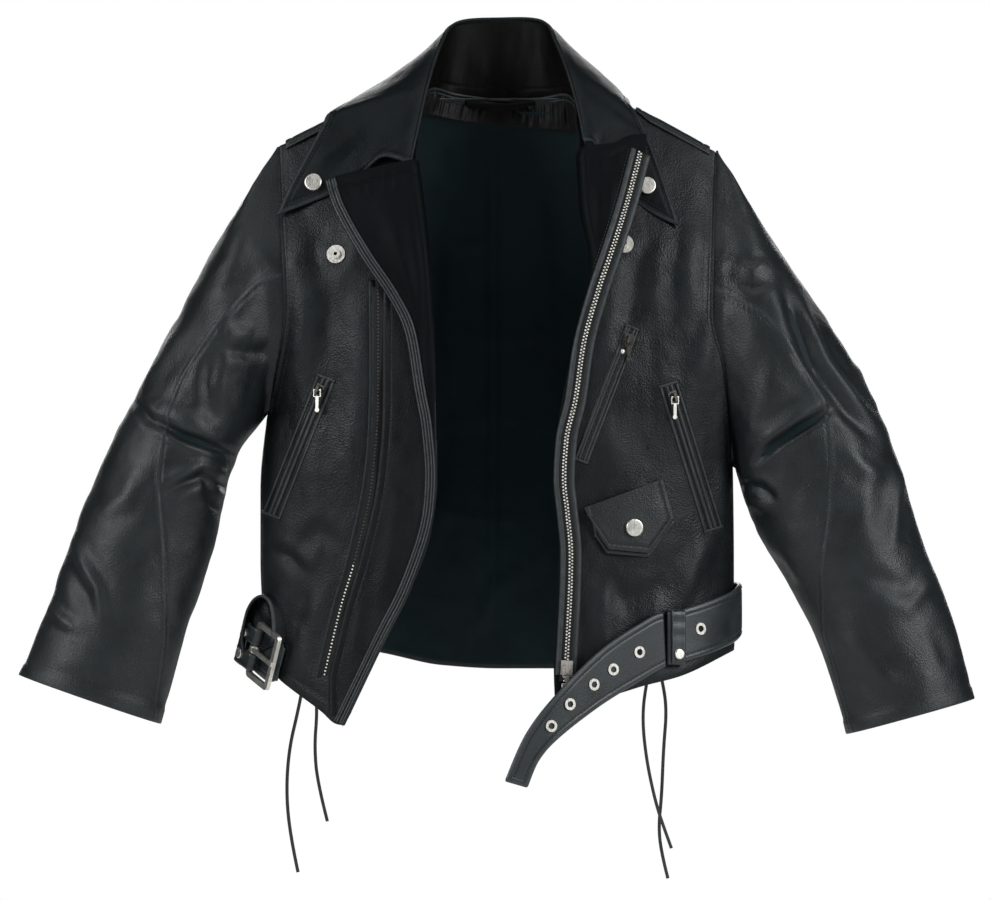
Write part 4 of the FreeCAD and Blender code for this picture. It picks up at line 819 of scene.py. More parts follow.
def back_grid(u, v, shrink=0.0, drop=0.0):
    """Outline of the back: u runs from the wearer's right side seam to the left, v upwards."""
    turn = np.cos(np.pi * u)[:, None] + 0 * v[None, :]
    top_x = np.where(turn > 0, RIGHT_SHOULDER[0], LEFT_SHOULDER[0]) * np.abs(turn)
    top = np.minimum(ridge(top_x), 4.0) - 1.0 - drop
    low_x = np.where(turn > 0, at(RIGHT_SIDE, -490.0), at(LEFT_SIDE, -490.0)) * np.abs(turn)
    z = lerp(at(BACK_HEM, low_x) + shrink, top - shrink, 1 - (1 - v[None, :]) ** 1.2)
    edge = np.where(turn > 0, at(RIGHT_SIDE, z) + 0.6 + shrink, at(LEFT_SIDE, z) - 0.6 - shrink)
    x = edge * np.abs(turn)
    return x, z


u, v = np.linspace(0, 1, 240), np.linspace(0, 1, 200)
x, z = back_grid(u, v)
flat = on_torso(x, z, 0.0, False)
out = torso_normal(x, z, False)
fade = smooth(np.minimum(u, 1 - u)[:, None] * 20)
over_hem = z - at(BACK_HEM, x)
height = panel_noise(flat, 31) * fade * smooth(over_hem / 26) * smooth((2 - z) / 20)
height += creases(x, z, (
    (((-120, -150), (-60, -300), (-70, -420)), 20, 2.0), (((110, -140), (60, -280), (80, -420)), 20, 2.0),
    (((-20, -120), (0, -300)), 22, -1.4), (((-150, -200), (-140, -330)), 14, 1.4),
    (((150, -210), (140, -340)), 14, 1.3), (((-100, -440), (0, -400), (110, -436)), 12, -1.2))) * fade
yoke = z + 92 + 10 * (x / 190) ** 2
height += seam_profile(yoke, 1.1)
height += -0.5 * bell(over_hem - 11, 1.0) + 0.5 * bell(over_hem - 6, 3)
wear = 0.3 * bell(yoke - 2.4, 1.2) + np.clip(height * 0.08, 0, 0.2)
panel("back_leather", flat, out, height, HIDE, ["back_panel"], "hanger_loop", wear)

# ------------------------------------------------------------------ linings

x, z = back_grid(np.linspace(0.02, 0.98, 200), np.linspace(0, 1, 240), 3.0, 7.0)
inward = -torso_normal(x, z, False)
flat = on_torso(x, z, 0.0, False) + inward * BACK_LINING_IN
height = 2.2 * bell(x + 6, 5.0) * smooth((z + 480) / 60) * smooth((-z - 20) / 60)
height += creases(x, z, (
    (((-78, -120), (-30, -128), (20, -122)), 6, 0.6), (((-60, -205), (10, -212), (48, -206)), 7, 0.6),
    (((-50, -285), (0, -280), (52, -290)), 7, 0.5), (((-70, -365), (0, -372), (50, -366)), 7, 0.6),
    (((-90, -430), (-60, -380), (-40, -330)), 9, 1.2), (((-30, -480), (0, -430), (40, -400)), 9, 1.1),
    (((-40, -60), (-44, -200), (-36, -330)), 10, 1.3), (((34, -60), (40, -180), (34, -300)), 9, 1.1)))
height += 1.1 * noise(flat, (30, 30, 60), 41) + 0.45 * noise(flat, (12, 12, 16), 42)
height = np.clip(height, -1.3, 5)
panel("back_lining_cloth", flat, inward, height, LINING, ["back_lining"], "back_leather", thick=LINING_THICK,
      slot="lining")

for right, word in ((True, "right"), (False, "left")):
    x, z = front_grid(right, np.linspace(0.04, 0.965, 90), np.linspace(0.035, 0.93, 150))
    inward = -torso_normal(x, z)
    flat = on_torso(x, z) + inward * FRONT_LINING_IN
    height = 0.8 * noise(flat, (30, 30, 70), 51) + 0.3 * noise(flat, (12, 12, 18), 52)
    panel(word + "_lining_cloth", flat, inward, height, LINING, [word + "_front_lining"],
          word + "_front_leather", thick=LINING_THICK, slot="lining")

# ------------------------------------------------------------------ sleeves

RIGHT_ARM = (
    (((-307, -281), (-280, -296), (-243, -309), (-236, -312)), 4.2, -4.6),
    (((-300, -270), (-272, -283), (-246, -294)), 8, 2.6),
    (((-296, -349), (-276, -338), (-262, -332), (-240, -342)), 5, -3.0),
    (((-290, -333), (-262, -322), (-240, -330)), 6, 1.8),
    (((-260, -336), (-247, -365)), 5, -2.2), (((-322, -262), (-310, -280), (-305, -288)), 4.5, -2.6),
    (((-319, -258), (-296, -225), (-279, -201)), 8, 2.4), (((-258, -212), (-232, -178), (-209, -150)), 8, 2),
    (((-252, -222), (-256, -250), (-253, -278)), 7, -2.6),
    (((-246, -220), (-222, -224), (-199, -221)), 6, -2.2),
    (((-240, -206), (-216, -206)), 7, 1.6),
    (((-376, -386), (-367, -408), (-354, -430), (-349, -462)), 5.5, 2.4),
    (((-384, -396), (-374, -420), (-362, -446)), 7, -1.5),
    (((-398, -444), (-388, -456), (-374, -466)), 5, 2.2),
    (((-376, -358), (-350, -334), (-326, -314)), 12, -1.4),
    (((-330, -400), (-306, -392), (-296, -380)), 9, -1.6),
    (((-318, -330), (-330, -352), (-350, -366)), 8, 1.4),
    (((-296, -450), (-286, -470)), 6, -1.2), (((-390, -490), (-350, -500), (-320, -512)), 12, 0.9),
    (((-226, -110), (-238, -150)), 10, 1.3), (((-212, -80), (-218, -130)), 8, -1.0),
)
LEFT_ARM = (
    (((291, -273), (262, -290), (240, -304), (224, -319)), 4.2, -4.6),
    (((286, -262), (256, -280), (230, -300)), 8, 2.4),
    (((211, -338), (228, -342), (242, -352)), 4, -2.6), (((216, -352), (236, -362)), 5, 1.6),
    (((249, -158), (259, -193), (273, -231), (304, -275), (329, -297)), 6.5, -3.4),
    (((262, -172), (286, -232), (312, -268), (338, -296)), 6, 2.8),
    (((238, -165), (246, -200), (258, -236)), 8, 1.8),
    (((206, -146), (222, -150), (236, -144)), 5, 1.8), (((208, -160), (222, -166), (240, -160)), 5, -1.8),
    (((196, -150), (214, -132)), 6, 1.2),
    (((354, -322), (350, -356), (346, -392)), 6, 2.4), (((338, -318), (334, -350), (330, -380)), 8, -1.4),
    (((297, -470), (324, -496), (352, -523)), 9, 1.8), (((312, -415), (338, -424), (367, -437)), 9, -1.6),
    (((384, -414), (372, -432), (360, -446)), 7, 1.8), (((237, -398), (250, -414), (261, -434)), 6, -1.6),
    (((300, -300), (318, -322), (340, -336)), 8, 1.5), (((228, -210), (222, -250), (216, -290)), 10, -1.6),
    (((246, -300), (250, -330), (244, -360)), 8, 1.2), (((330, -250), (344, -290)), 5, 1.6),
    (((386, -470), (396, -500)), 7, -1.2),
)


def sleeve_grid(table, turn, s):
    """Tube of a sleeve around turn and along s; its start is tucked under the body's edge."""
    out_x, out_z, in_x, in_z, mid, half = (at(table, s, k)[None, :] for k in range(1, 7))
    c, sn = np.cos(turn)[:, None], np.sin(turn)[:, None]
    x = lerp(out_x, in_x, (1 - c) / 2)
    z = lerp(out_z, in_z, (1 - c) / 2)
    towards = 1 if table is RIGHT_SLEEVE else -1
    x = x + towards * 10.0 * np.abs(sn) ** 2 * np.clip(1 - s / 0.25, 0, 1)[None, :]
    tucked = (1 - smooth(s / 0.055))[None, :] * np.abs(sn)
    x = lerp(x, side(x, z) + towards * 7.0, tucked)
    y = mid - half * sn
    rim = side(x, z) * 0.992
    under = np.where(sn > 0, torso_depth(rim, z, True) + 3.2 * sn, torso_depth(rim, z, False) + 3.2 * sn)
    y = lerp(y, under, (1 - smooth(s / 0.26))[None, :])
    points = np.stack([x, y, z], axis=-1)
    middle = np.stack([(out_x + in_x) / 2 + 0 * x, mid + 0 * x, (out_z + in_z) / 2 + 0 * x], axis=-1)
    return points, points - middle


def armhole_ends(grid, column):
    """Two points along a sleeve from its armhole, 4 and 85 mm out, in metres."""
    middle = grid.mean(axis=0)
    shoulder = Vector((middle[0] * MM).tolist())
    way = Vector(((middle[column] - middle[0]) * MM).tolist()).normalized()
    return shoulder + way * 0.004, shoulder + way * 0.085


sleeve_faces = {}
for word, table, folds in (("right", RIGHT_SLEEVE, RIGHT_ARM), ("left", LEFT_SLEEVE, LEFT_ARM)):
    turn = np.linspace(0, 2 * math.pi, 230, endpoint=False)
    s = np.linspace(0.0, 1.0, 208)
    flat, away = sleeve_grid(table, turn, s)
    out = ring_normals(flat, away)
    front_side = smooth((-out[..., 1] + 0.15) / 0.5)
    x, z = flat[..., 0], flat[..., 2]
    height = 1.25 * creases(x, z, folds) * front_side
    height += (1.6 * noise(flat, (55, 55, 70), 61) + 0.8 * noise(flat, (24, 26, 26), 62)
               + 0.2 * noise(flat, (9, 9, 9), 63))
    elbow = bell(s - 0.47, 0.14)[None, :]
    behind = 1 - front_side
    height += behind * elbow * 2.4 * noise(flat, (40, 30, 13), 64)
    height += (1 - s[None, :]) ** 6 * 0.9 * noise(flat, (14, 9, 14), 65)
    girth = np.linalg.norm(np.roll(flat, -1, axis=0) - flat, axis=2).sum(axis=0)[None, :]
    seam_front = np.arccos(np.clip(2 * at(table, s, 7) - 1, -1, 1))[None, :]
    wear = np.clip(height * 0.05, 0, 0.18)
    for angle, dip in ((seam_front, 1.0), (np.full_like(seam_front, 1.5 * math.pi), 0.8)):
        d = ((turn[:, None] - angle + math.pi) % (2 * math.pi) - math.pi) / (2 * math.pi) * girth
        height += 1.5 * dip * seam_profile(-d, 1.15)
        wear = wear + 0.6 * bell(-d - 2.4, 1.2)
    length = np.linalg.norm(np.diff(flat, axis=1), axis=2).sum(axis=1).max()
    from_cuff = (1 - s[None, :]) * length
    height = height * smooth((s[None, :] - 0.01) * 16) * smooth((from_cuff + 6) / 22)
    height += 0.9 * smooth((11 - from_cuff) / 3) - 0.7 * bell(from_cuff - 11.5, 0.9)
    wear = wear + 0.2 * smooth((4 - from_cuff) / 4)
    points = flat + out * height[..., None]
    piece, normals = sheet_piece(word + "_sleeve_leather", points, away, LEATHER, HIDE, wear, around=True)
    sleeve_faces[word] = (points, normals, turn, s, seam_front[0], girth[0])
    ends = armhole_ends(flat, 40)
    done(piece, word + "_sleeve", [word + "_top_sleeve", word + "_under_sleeve", "sleeve_heads"], ends=ends)
    sewn_sheet(flat)
    turn = np.linspace(0, 2 * math.pi, 90, endpoint=False)
    s = np.linspace(0.03, 0.968, 110)
    flat, away = sleeve_grid(table, turn, s)
    out = ring_normals(flat, away)
    flat = flat - out * SLEEVE_LINING_IN
    height = -np.abs(1.6 * noise(flat, (26, 26, 60), 71)) - 0.5 * np.abs(noise(flat, (9, 9, 14), 72))
    piece, _ = sheet_piece(word + "_sleeve_lining_cloth", flat + out * height[..., None], away, LINING_THICK,
                           LINING, around=True)
    done(piece, word + "_sleeve", [word + "_sleeve_lining"], "lining", ends)
    sewn_sheet(flat)

# ------------------------------------------------------------------ sewing helpers

SEWN = {}


def curve(points, step=2.0):
    """Smooth line through a few points, a step apart."""
    dense = along(points, np.linspace(0, 1, 400))
    return resample(dense, step)[0]


def beside(xz, offset):
    """The same line moved sideways in the front view; the left of its direction is positive."""
    way = unit(np.gradient(xz, axis=0))
    return xz + np.stack([-way[:, 1], way[:, 0]], axis=-1) * offset


def laid(surface, xz, lift=0.0):
    return surface(xz[:, 0], xz[:, 1], lift)


def sew(owner, path, normals, pitch=3.3, long=2.3, thick=0.36, body="shell"):
    """Adds a row of stitches along a path to the thread that goes with owner."""
    SEWN.setdefault((owner, body), []).extend(
        (p + n * 0.08, way, n, (long / 2, thick, thick)) for p, n, way in zip(*spaced(path, normals, pitch)))


def sew_on(owner, surface, points):
    sew(owner, *laid(surface, curve(points), 0.1))


# ------------------------------------------------------------------ right lapel, placket and edge

def right_lift(z):
    return lerp(2.4, 9.0, smooth((z + 240) / 120))


def left_lift(z):
    return lerp(1.0, 9.6, smooth((z + 260) / 140))


def rolled(distance, radius, height):
    """Height of leather that rolls down to its seam within a radius."""
    t = np.clip(1 - distance / radius, 0, 1)
    return height * np.sqrt(np.clip(1 - t * t, 0, 1))


u, v = np.linspace(0, 1, 110), np.linspace(0, 1, 260)
z = lerp(-300.0, lerp(-71.0, -56.0, u[:, None]), v[None, :] ** 0.9)
x = lerp(at(RIGHT_EDGE, z), at(RIGHT_OPENING, z) + 1.0, u[:, None])
base = on_torso(x, z)
out = torso_normal(x, z)
lift = right_lift(z) * lerp(0.62, 1, smooth(u[:, None] * 2)) + 0.6
lift = 0.5 + rolled(at(RIGHT_OPENING, z) + 1.0 - x, 9.0, lift)
from_top = -57 - 13 * (1 - u[:, None]) - z
gather = bell(from_top - 15, 6.0)
lift += gather * 0.9 * noise(base, (4.5, 60, 30), 81) + 0.7 * bell(from_top - 5, 4)
lift -= 0.8 * bell(from_top - 10.5, 1.1)
lift += creases(x, z, (
    (((-98, -86), (-86, -140), (-70, -190)), 7, 1.5), (((-80, -84), (-72, -150), (-66, -220)), 6, -1.2),
    (((-120, -92), (-104, -132)), 7, -0.9), (((-66, -110), (-63, -180), (-61, -250)), 4, 1.0)))
lift += 0.7 * noise(base, (26, 30, 60), 82) + 0.25 * noise(base, (9, 9, 14), 83)
lapel_r = Surface(*panel("right_lapel_facing", base, out, lift, FACE, ["right_lapel"], "right_front_leather"))

u, v = np.linspace(0, 1, 60), np.linspace(0, 1, 280)
z = np.broadcast_to(lerp(-541.0, -110.0, v[None, :]), (60, 280))
x = lerp(at(RIGHT_ZIP, z) + 4.6, at(RIGHT_OPENING, z) - 0.4, u[:, None])
base = on_torso(x, z)
out = torso_normal(x, z)
from_zip = x - at(RIGHT_ZIP, z) - 4.6
lift = 1.9 + 1.0 * bell(from_zip - 2.2, 2.0) - 0.6 * bell(from_zip - 6.5, 0.8)
lift += 0.9 * noise(base, (22, 26, 70), 84) * smooth(from_zip / 14) + 0.3 * noise(base, (9, 9, 16), 85)
lift += creases(x, z, (
    (((-84, -300), (-92, -380), (-104, -440)), 7, 1.1), (((-104, -300), (-110, -370)), 6, -0.9),
    (((-120, -440), (-132, -500)), 6, 0.9), (((-96, -330), (-70, -360)), 7, -0.8)))
wear = 0.25 * bell(from_zip - 1.5, 1.6) + 0 * z
placket = Surface(*panel("right_placket_leather", base, out, lift, SHADED_PLACKET, ["right_placket"],
                         "right_front_leather", wear))
sew_on("right_placket", placket, [(a + 11.5, b) for b, a in RIGHT_ZIP])

edge = beside(curve([(a, b) for b, a in RIGHT_EDGE]), 3.2)
up = smooth((edge[:, 1] + 300) / 24)[:, None]


def over_both(xz, lift):
    """A line laid on the placket at its foot and on the lapel further up."""
    low, low_out = laid(placket, xz, lift)
    high, high_out = laid(lapel_r, xz, lift)
    return lerp(low, high, up), unit(lerp(low_out, high_out, up))


path, normals = over_both(edge, 0.2)
span = np.linspace(-5.0, 5.0, 41)
rolls = 0.3 + 1.5 * np.sqrt(np.clip(1 - ((np.abs(span) - 2.5) / 2.55) ** 2, 0, 1))
RIDGES = ((-4.9, -0.9), *zip(span, rolls), (4.9, -0.9))
# pale lines on the flanks of the double ridge: worn edges and painted highlight lines together
rubbed_and_highlit = sum(bell(span - a, 0.32) for a in (-3.7, -1.4, 1.4, 3.7)) * 0.6
ribbon("right_edge_band", path, normals, RIDGES, EDGE, ["right_lapel", "right_placket"],
       np.concatenate([[0], rubbed_and_highlit, [0]]))
sew("right_lapel", *over_both(beside(edge, -4.6), 0.1))

u, v = np.linspace(0, 1, 60), np.linspace(0, 1, 30)
x = lerp(-140.0, -74.0, u[:, None]) + 0 * v[None, :]
z = lerp(-80.0, lerp(-56.0, -40.0, u[:, None]), v[None, :])
base = on_torso(x, z)
out = torso_normal(x, z)
lift = 1.2 + 0.3 * noise(base, (12, 12, 12), 86) - 0.8 * v[None, :]
panel("right_lapel_underside", base, out, lift, FACE, ["right_lapel"], "right_front_leather", thick=1.0)


TAPE_FACE = ((-5.2, 0), (-5.2, 0.55), (0, 0.7), (5.2, 0.55), (5.2, 0))


def zip_band(word, line, low, high, surface, lift, clear, tooth, pitch, double, shade_from):
    """Tape with its teeth, one row or two staggered; those above shade_from are in the shade."""
    nodes = [word + "_half"]
    z = np.arange(low, high, 2.0)
    path, normals = surface(at(line, z), z, lift)
    ribbon(word + "_tape", path, normals, TAPE_FACE, TAPE, nodes, slot="zip_teeth")
    fine, out, way = spaced(path, normals, pitch)
    way = unit(way)
    across = unit(np.cross(out, way))
    places = [(p + n * clear + a * column * 1.15 + w * column * pitch / 4, a, n, tooth)
              for p, n, w, a in zip(fine, out, way, across) for column in ((-1, 1) if double else (0,))]
    lit = [place for place in places if place[0][2] < shade_from]
    hidden = [place for place in places if place[0][2] >= shade_from]
    for kind, row, material in (("_teeth", lit, TOOTH), ("_teeth_in_shade", hidden, GLOOM)):
        if row:
            blob_rows(word + kind, row, material, nodes, "zip_teeth")
    return path, normals


zip_band("right_zip", RIGHT_ZIP, -506, -164, fronts["right"], 0.5, 0.9, (0.95, 0.9, 0.7), 3.1, False, -408)
path, normals = laid(fronts["right"], curve([(a - 5.6, b) for b, a in RIGHT_ZIP]), 0.2)
LIP = ((-3.0, -0.5), (-2.6, 0.2), (-1.4, 0.9), (0.4, 1.4), (1.8, 1.6), (2.5, 1.3), (2.8, 0.4), (2.6, -0.4))
ribbon("right_zip_lip", path, normals, LIP, SHADED_HIDE, ["right_zip_half"], (0, 0, 0, 0.05, 0.5, 0.7, 0.1, 0))
sew_on("right_placket", fronts["right"], [(a - 13.0, b) for b, a in RIGHT_ZIP])

# ------------------------------------------------------------------ left lapel with its zip

LEFT_LAPEL_TOP = ((68, -49), (75, -46.5), (97, -44), (112, -37), (124, -36))
u, v = np.linspace(0, 1, 100), np.linspace(0, 1, 300)
top_z = at(LEFT_LAPEL_TOP, lerp(68.0, 124.0, u))[:, None]
z = lerp(-530.0, top_z, v[None, :])
x = lerp(at(LEFT_OPENING, z) - 1.0, at(LEFT_ZIP, z) + 2.0, u[:, None])
base = on_torso(x, z)
out = torso_normal(x, z)
lift = left_lift(z) + LEATHER
lift = 0.5 + rolled(x - at(LEFT_OPENING, z) + 1.0, 8.0, lift)
from_top = top_z - z
lift += bell(from_top - 15, 6.0) * 0.6 * noise(base, (5, 60, 30), 91)
lift += 0.7 * bell(from_top - 5, 4) - 0.8 * bell(from_top - 10.5, 1.1)
room = smooth((x - at(LEFT_OPENING, z)) / 10) * smooth((at(LEFT_ZIP, z) - 8 - x) / 10)
lift += room * (0.7 * noise(base, (20, 30, 50), 92) + 0.25 * noise(base, (9, 9, 14), 93))
lift += room * creases(x, z, (
    (((100, -80), (94, -130), (84, -180)), 7, 1.4), (((84, -76), (90, -120)), 6, -1.1),
    (((76, -190), (66, -240)), 5, 0.9)))
lapel_l = Surface(*panel("left_lapel_facing", base, out, lift, FACE, ["left_lapel"], "left_front_leather"))
zip_path, zip_normals = zip_band("left_zip", LEFT_ZIP, -512, -46, lapel_l, 0.1, 1.25, (1.0, 0.95, 0.9), 2.9,
                                 True, 0)

WELT = ((-2.6, -0.6), (-2.6, 0.5), (-1.9, 1.25), (-0.6, 1.6), (0.6, 1.6), (1.9, 1.25), (2.6, 0.5),
        (2.6, -0.6))
z = np.arange(-506, -42, 2.0)
path, normals = lapel_l(at(LEFT_ZIP, z) - 6.6, z, 0.1)
ribbon("left_zip_piping", path, normals, WELT, EDGE, ["left_lapel"], (0, 0.1, 0.2, 0.3, 0.35, 0.2, 0.1, 0))
way = unit(np.gradient(zip_path, axis=0))
across = unit(np.cross(zip_normals, way))
across[across[:, 0] < 0] *= -1
lip_path = zip_path + across * 6.2 + zip_normals * -0.6
OUTER_LIP = ((-3.4, -1.6), (-3.5, -0.2), (-2.8, 0.9), (-1.2, 1.5), (0.8, 1.5), (2.4, 0.8), (3.2, -0.6),
             (2.6, -2.4))
ribbon("left_zip_lip", lip_path, zip_normals, OUTER_LIP, EDGE, ["left_lapel"],
       (0, 0.1, 0.35, 0.25, 0.1, 0.1, 0.1, 0))
z = z[at(LEFT_ZIP, z) - 14.0 > at(LEFT_OPENING, z)]
sew("left_lapel", *lapel_l(at(LEFT_ZIP, z) - 11.0, z, 0.05))

# ------------------------------------------------------------------ stand, fall, facing and loop

def collar_grid(start, end, us, vs):
    a, b = along(start, us), along(end, us)
    return a[:, None, :] + (b - a)[:, None, :] * vs[None, :, None]


us, vs = np.linspace(0.0, 1.0, 230), np.linspace(0.0, 1.0, 60)
base = collar_grid(NECK_SEAM, ROLL_LINE, us, lerp(0.01, 0.985, vs))
n = grid_normals(base, np.array([0, TORSO_MID, 20]) - base)
height = 1.2 * noise(base, (18, 18, 60), 101) + 0.5 * noise(base, (7, 7, 16), 102)
height += 0.9 * np.sin(us[:, None] * 61 + 2 * noise(base, 30, 103)) * bell(vs[None, :] - 0.08, 0.1)
height = height * smooth(vs[None, :] * 8) * smooth((1 - vs[None, :]) * 8)
height -= 0.7 * bell(vs[None, :] - 0.13, 0.018)
panel("collar_stand_leather", base, n, height * 0.8, STAND, ["collar_stand"], "back_leather")

us, vs = np.linspace(0.0, 1.0, 330), np.linspace(0.0, 1.0, 130)
base = collar_grid(ROLL_LINE, FALL_EDGE, us, vs)
rounding = 5.5 * np.sin(math.pi * vs)[None, :] * np.sin(math.pi * us)[:, None] ** 2
mouth = 15.0 * bell(vs - 0.22, 0.15)[None, :] * (1 - smooth(us / 0.07))[:, None]
sweep = (12.0 * np.sin(math.pi * vs) - 12.0 * bell(vs - 0.1, 0.09))[None, :]
sweep = sweep * smooth((us - 0.93) / 0.07)[:, None]
rounding = rounding + mouth * smooth(vs * 12)[None, :] - sweep
base[..., 2] += rounding
n = grid_normals(base, base - np.array([0, TORSO_MID, -40]))
spread = np.linalg.norm(base[:, -1] - base[:, 0], axis=1)[:, None]
from_edge = (1 - vs[None, :]) * spread
ends = run(base[:, 65])
from_end = np.minimum(ends, ends[-1] - ends)[:, None]
near = np.minimum(from_edge, from_end)
height = 1.2 + 0.9 * noise(base, (32, 32, 50), 111) + 0.35 * noise(base, (12, 12, 16), 112)
height = height * smooth(near / 14) * smooth(vs[None, :] * 6) + 0.3
height += 0.7 * bell(near - 2.6, 2.2) - 0.65 * bell(near - 7.0, 0.9)
wings = smooth((np.abs(base[..., 0]) - 100) / 40)
height += wings * creases(base[..., 0], base[..., 2], (
    (((-172, -74), (-148, -48), (-118, -20)), 8, 1.3), (((-104, -62), (-96, -30), (-82, 6)), 8, 1.2),
    (((-150, -60), (-128, -46)), 6, -0.9), (((118, -60), (112, -30)), 6, 1.0)))
wear = 0.6 * bell(near - 1.5, 1.8) + 0.22 * bell(vs[None, :], 0.06)
points, normals = panel("collar_fall_leather", base, n, height, SHADED_COLLAR, ["collar_fall"], "back_leather", wear,
                        2.6)
rows = np.arange(12, len(us) - 12)
columns = np.argmin(np.abs(from_edge - 6.4), axis=1)[rows]
sew("collar_fall", points[rows, columns], normals[rows, columns])
for row in (6, -7):
    sew("collar_fall", points[row, 20:122], normals[row, 20:122])

FACING_FOOT = ((-78, -20), (-66, -11), (-40, -16), (-16, -19), (40, -24), (66, -26), (78, -34))
us, vs = np.linspace(0.19, 0.81, 300), np.linspace(0, 1, 30)
top = along(NECK_SEAM, us) - np.array([0, 0.1, -0.7])
foot_x = top[:, 0] * 1.04
foot_z = at(FACING_FOOT, foot_x)
foot_y = np.minimum(torso_depth(foot_x, foot_z, False) - 10.5, top[:, 1] + 26)
foot = np.stack([foot_x, foot_y, foot_z], axis=-1)
base = top[:, None] + (foot - top)[:, None] * vs[None, :, None]
inward = grid_normals(base, np.array([0, TORSO_MID, 0]) - base)
drawn = np.stack([run(top)[:, None] + 3 * vs[None, :], 0 * base[..., 1], base[..., 2]], axis=-1)
middle = np.sin(math.pi * np.clip(vs * 0.86 + 0.07, 0, 1))[None, :]
depth = 0.9 + middle * (2.6 * np.abs(noise(drawn, (6.5, 40, 60), 121))
                        + 1.0 * noise(drawn, (3.2, 40, 30), 123))
depth += 0.5 * noise(base, (14, 14, 14), 122)
panel("neck_facing_gathers", base, inward, depth, RUCHED, ["neck_facing"], "back_lining_cloth", thick=0.8,
      slot="facing")
for name, level, thick in (("neck_piping_top", 0.02, 1.15), ("neck_piping_foot", 0.17, 0.8)):
    path, _ = resample(top + (foot - top) * level, 2.0)
    near = np.array([np.argmin(np.linalg.norm(base[:, 0] - p, axis=1)) for p in path])
    profile = [(thick * math.cos(t) * 1.2, thick * math.sin(t)) for t in np.linspace(0, math.pi, 7)]
    ribbon(name, path + inward[near, 0] * 1.6, inward[near, 0], profile, TRIM, ["neck_facing"],
           (0, 0.1, 0.3, 0.4, 0.3, 0.1, 0), "facing")

xs = np.linspace(-31, 31, 40)
sag = -0.6 - 3.2 * np.cos(xs / 31 * math.pi / 2)
path = np.stack([xs, 0.2 - 1.0 * np.cos(xs / 31 * math.pi / 2), sag], axis=-1)
normals = unit(np.tile(np.array([0, -1.0, 0.12]), (40, 1)))
ribbon("hanger_strap", path, normals, ((-2.6, -0.5), (-2.6, 0.5), (0, 0.75), (2.6, 0.5), (2.6, -0.5)), STAND,
       ["hanger_loop"])

# ------------------------------------------------------------------ shoulder straps

for word, outer, inner in (("right", -188.0, -138.0), ("left", 184.0, 120.0)):
    us, vs = np.linspace(0, 1, 90), np.linspace(0, 1, 60)
    x = lerp(outer, inner, us)[:, None] + 0 * vs[None, :]
    tip = 1 - 0.28 * smooth((us - 0.8) / 0.2)[:, None]
    share = np.abs(2 * vs[None, :] - 1) * tip
    z = ridge(x) - 5.5 * share ** 2
    y = np.where(vs[None, :] > 0.5, torso_depth(x, z, False), torso_depth(x, z, True))
    base = np.stack([x, y, z], axis=-1)
    n = grid_normals(base, np.stack([0 * x, y - TORSO_MID, z + 60.0], axis=-1))
    near = np.minimum(np.minimum(us, 1 - us)[:, None] * abs(inner - outer),
                      np.minimum(vs, 1 - vs)[None, :] * 44)
    height = 2.2 + 0.3 * bell(near - 2, 2) - 0.4 * bell(near - 5, 0.8)
    height += 0.4 * noise(base, (14, 14, 14), 131)
    wear = 0.35 * bell(near, 1.6)
    panel(word + "_shoulder_strap", base, n, height, HIDE, ["epaulettes"], word + "_front_leather", wear)

# ------------------------------------------------------------------ pockets

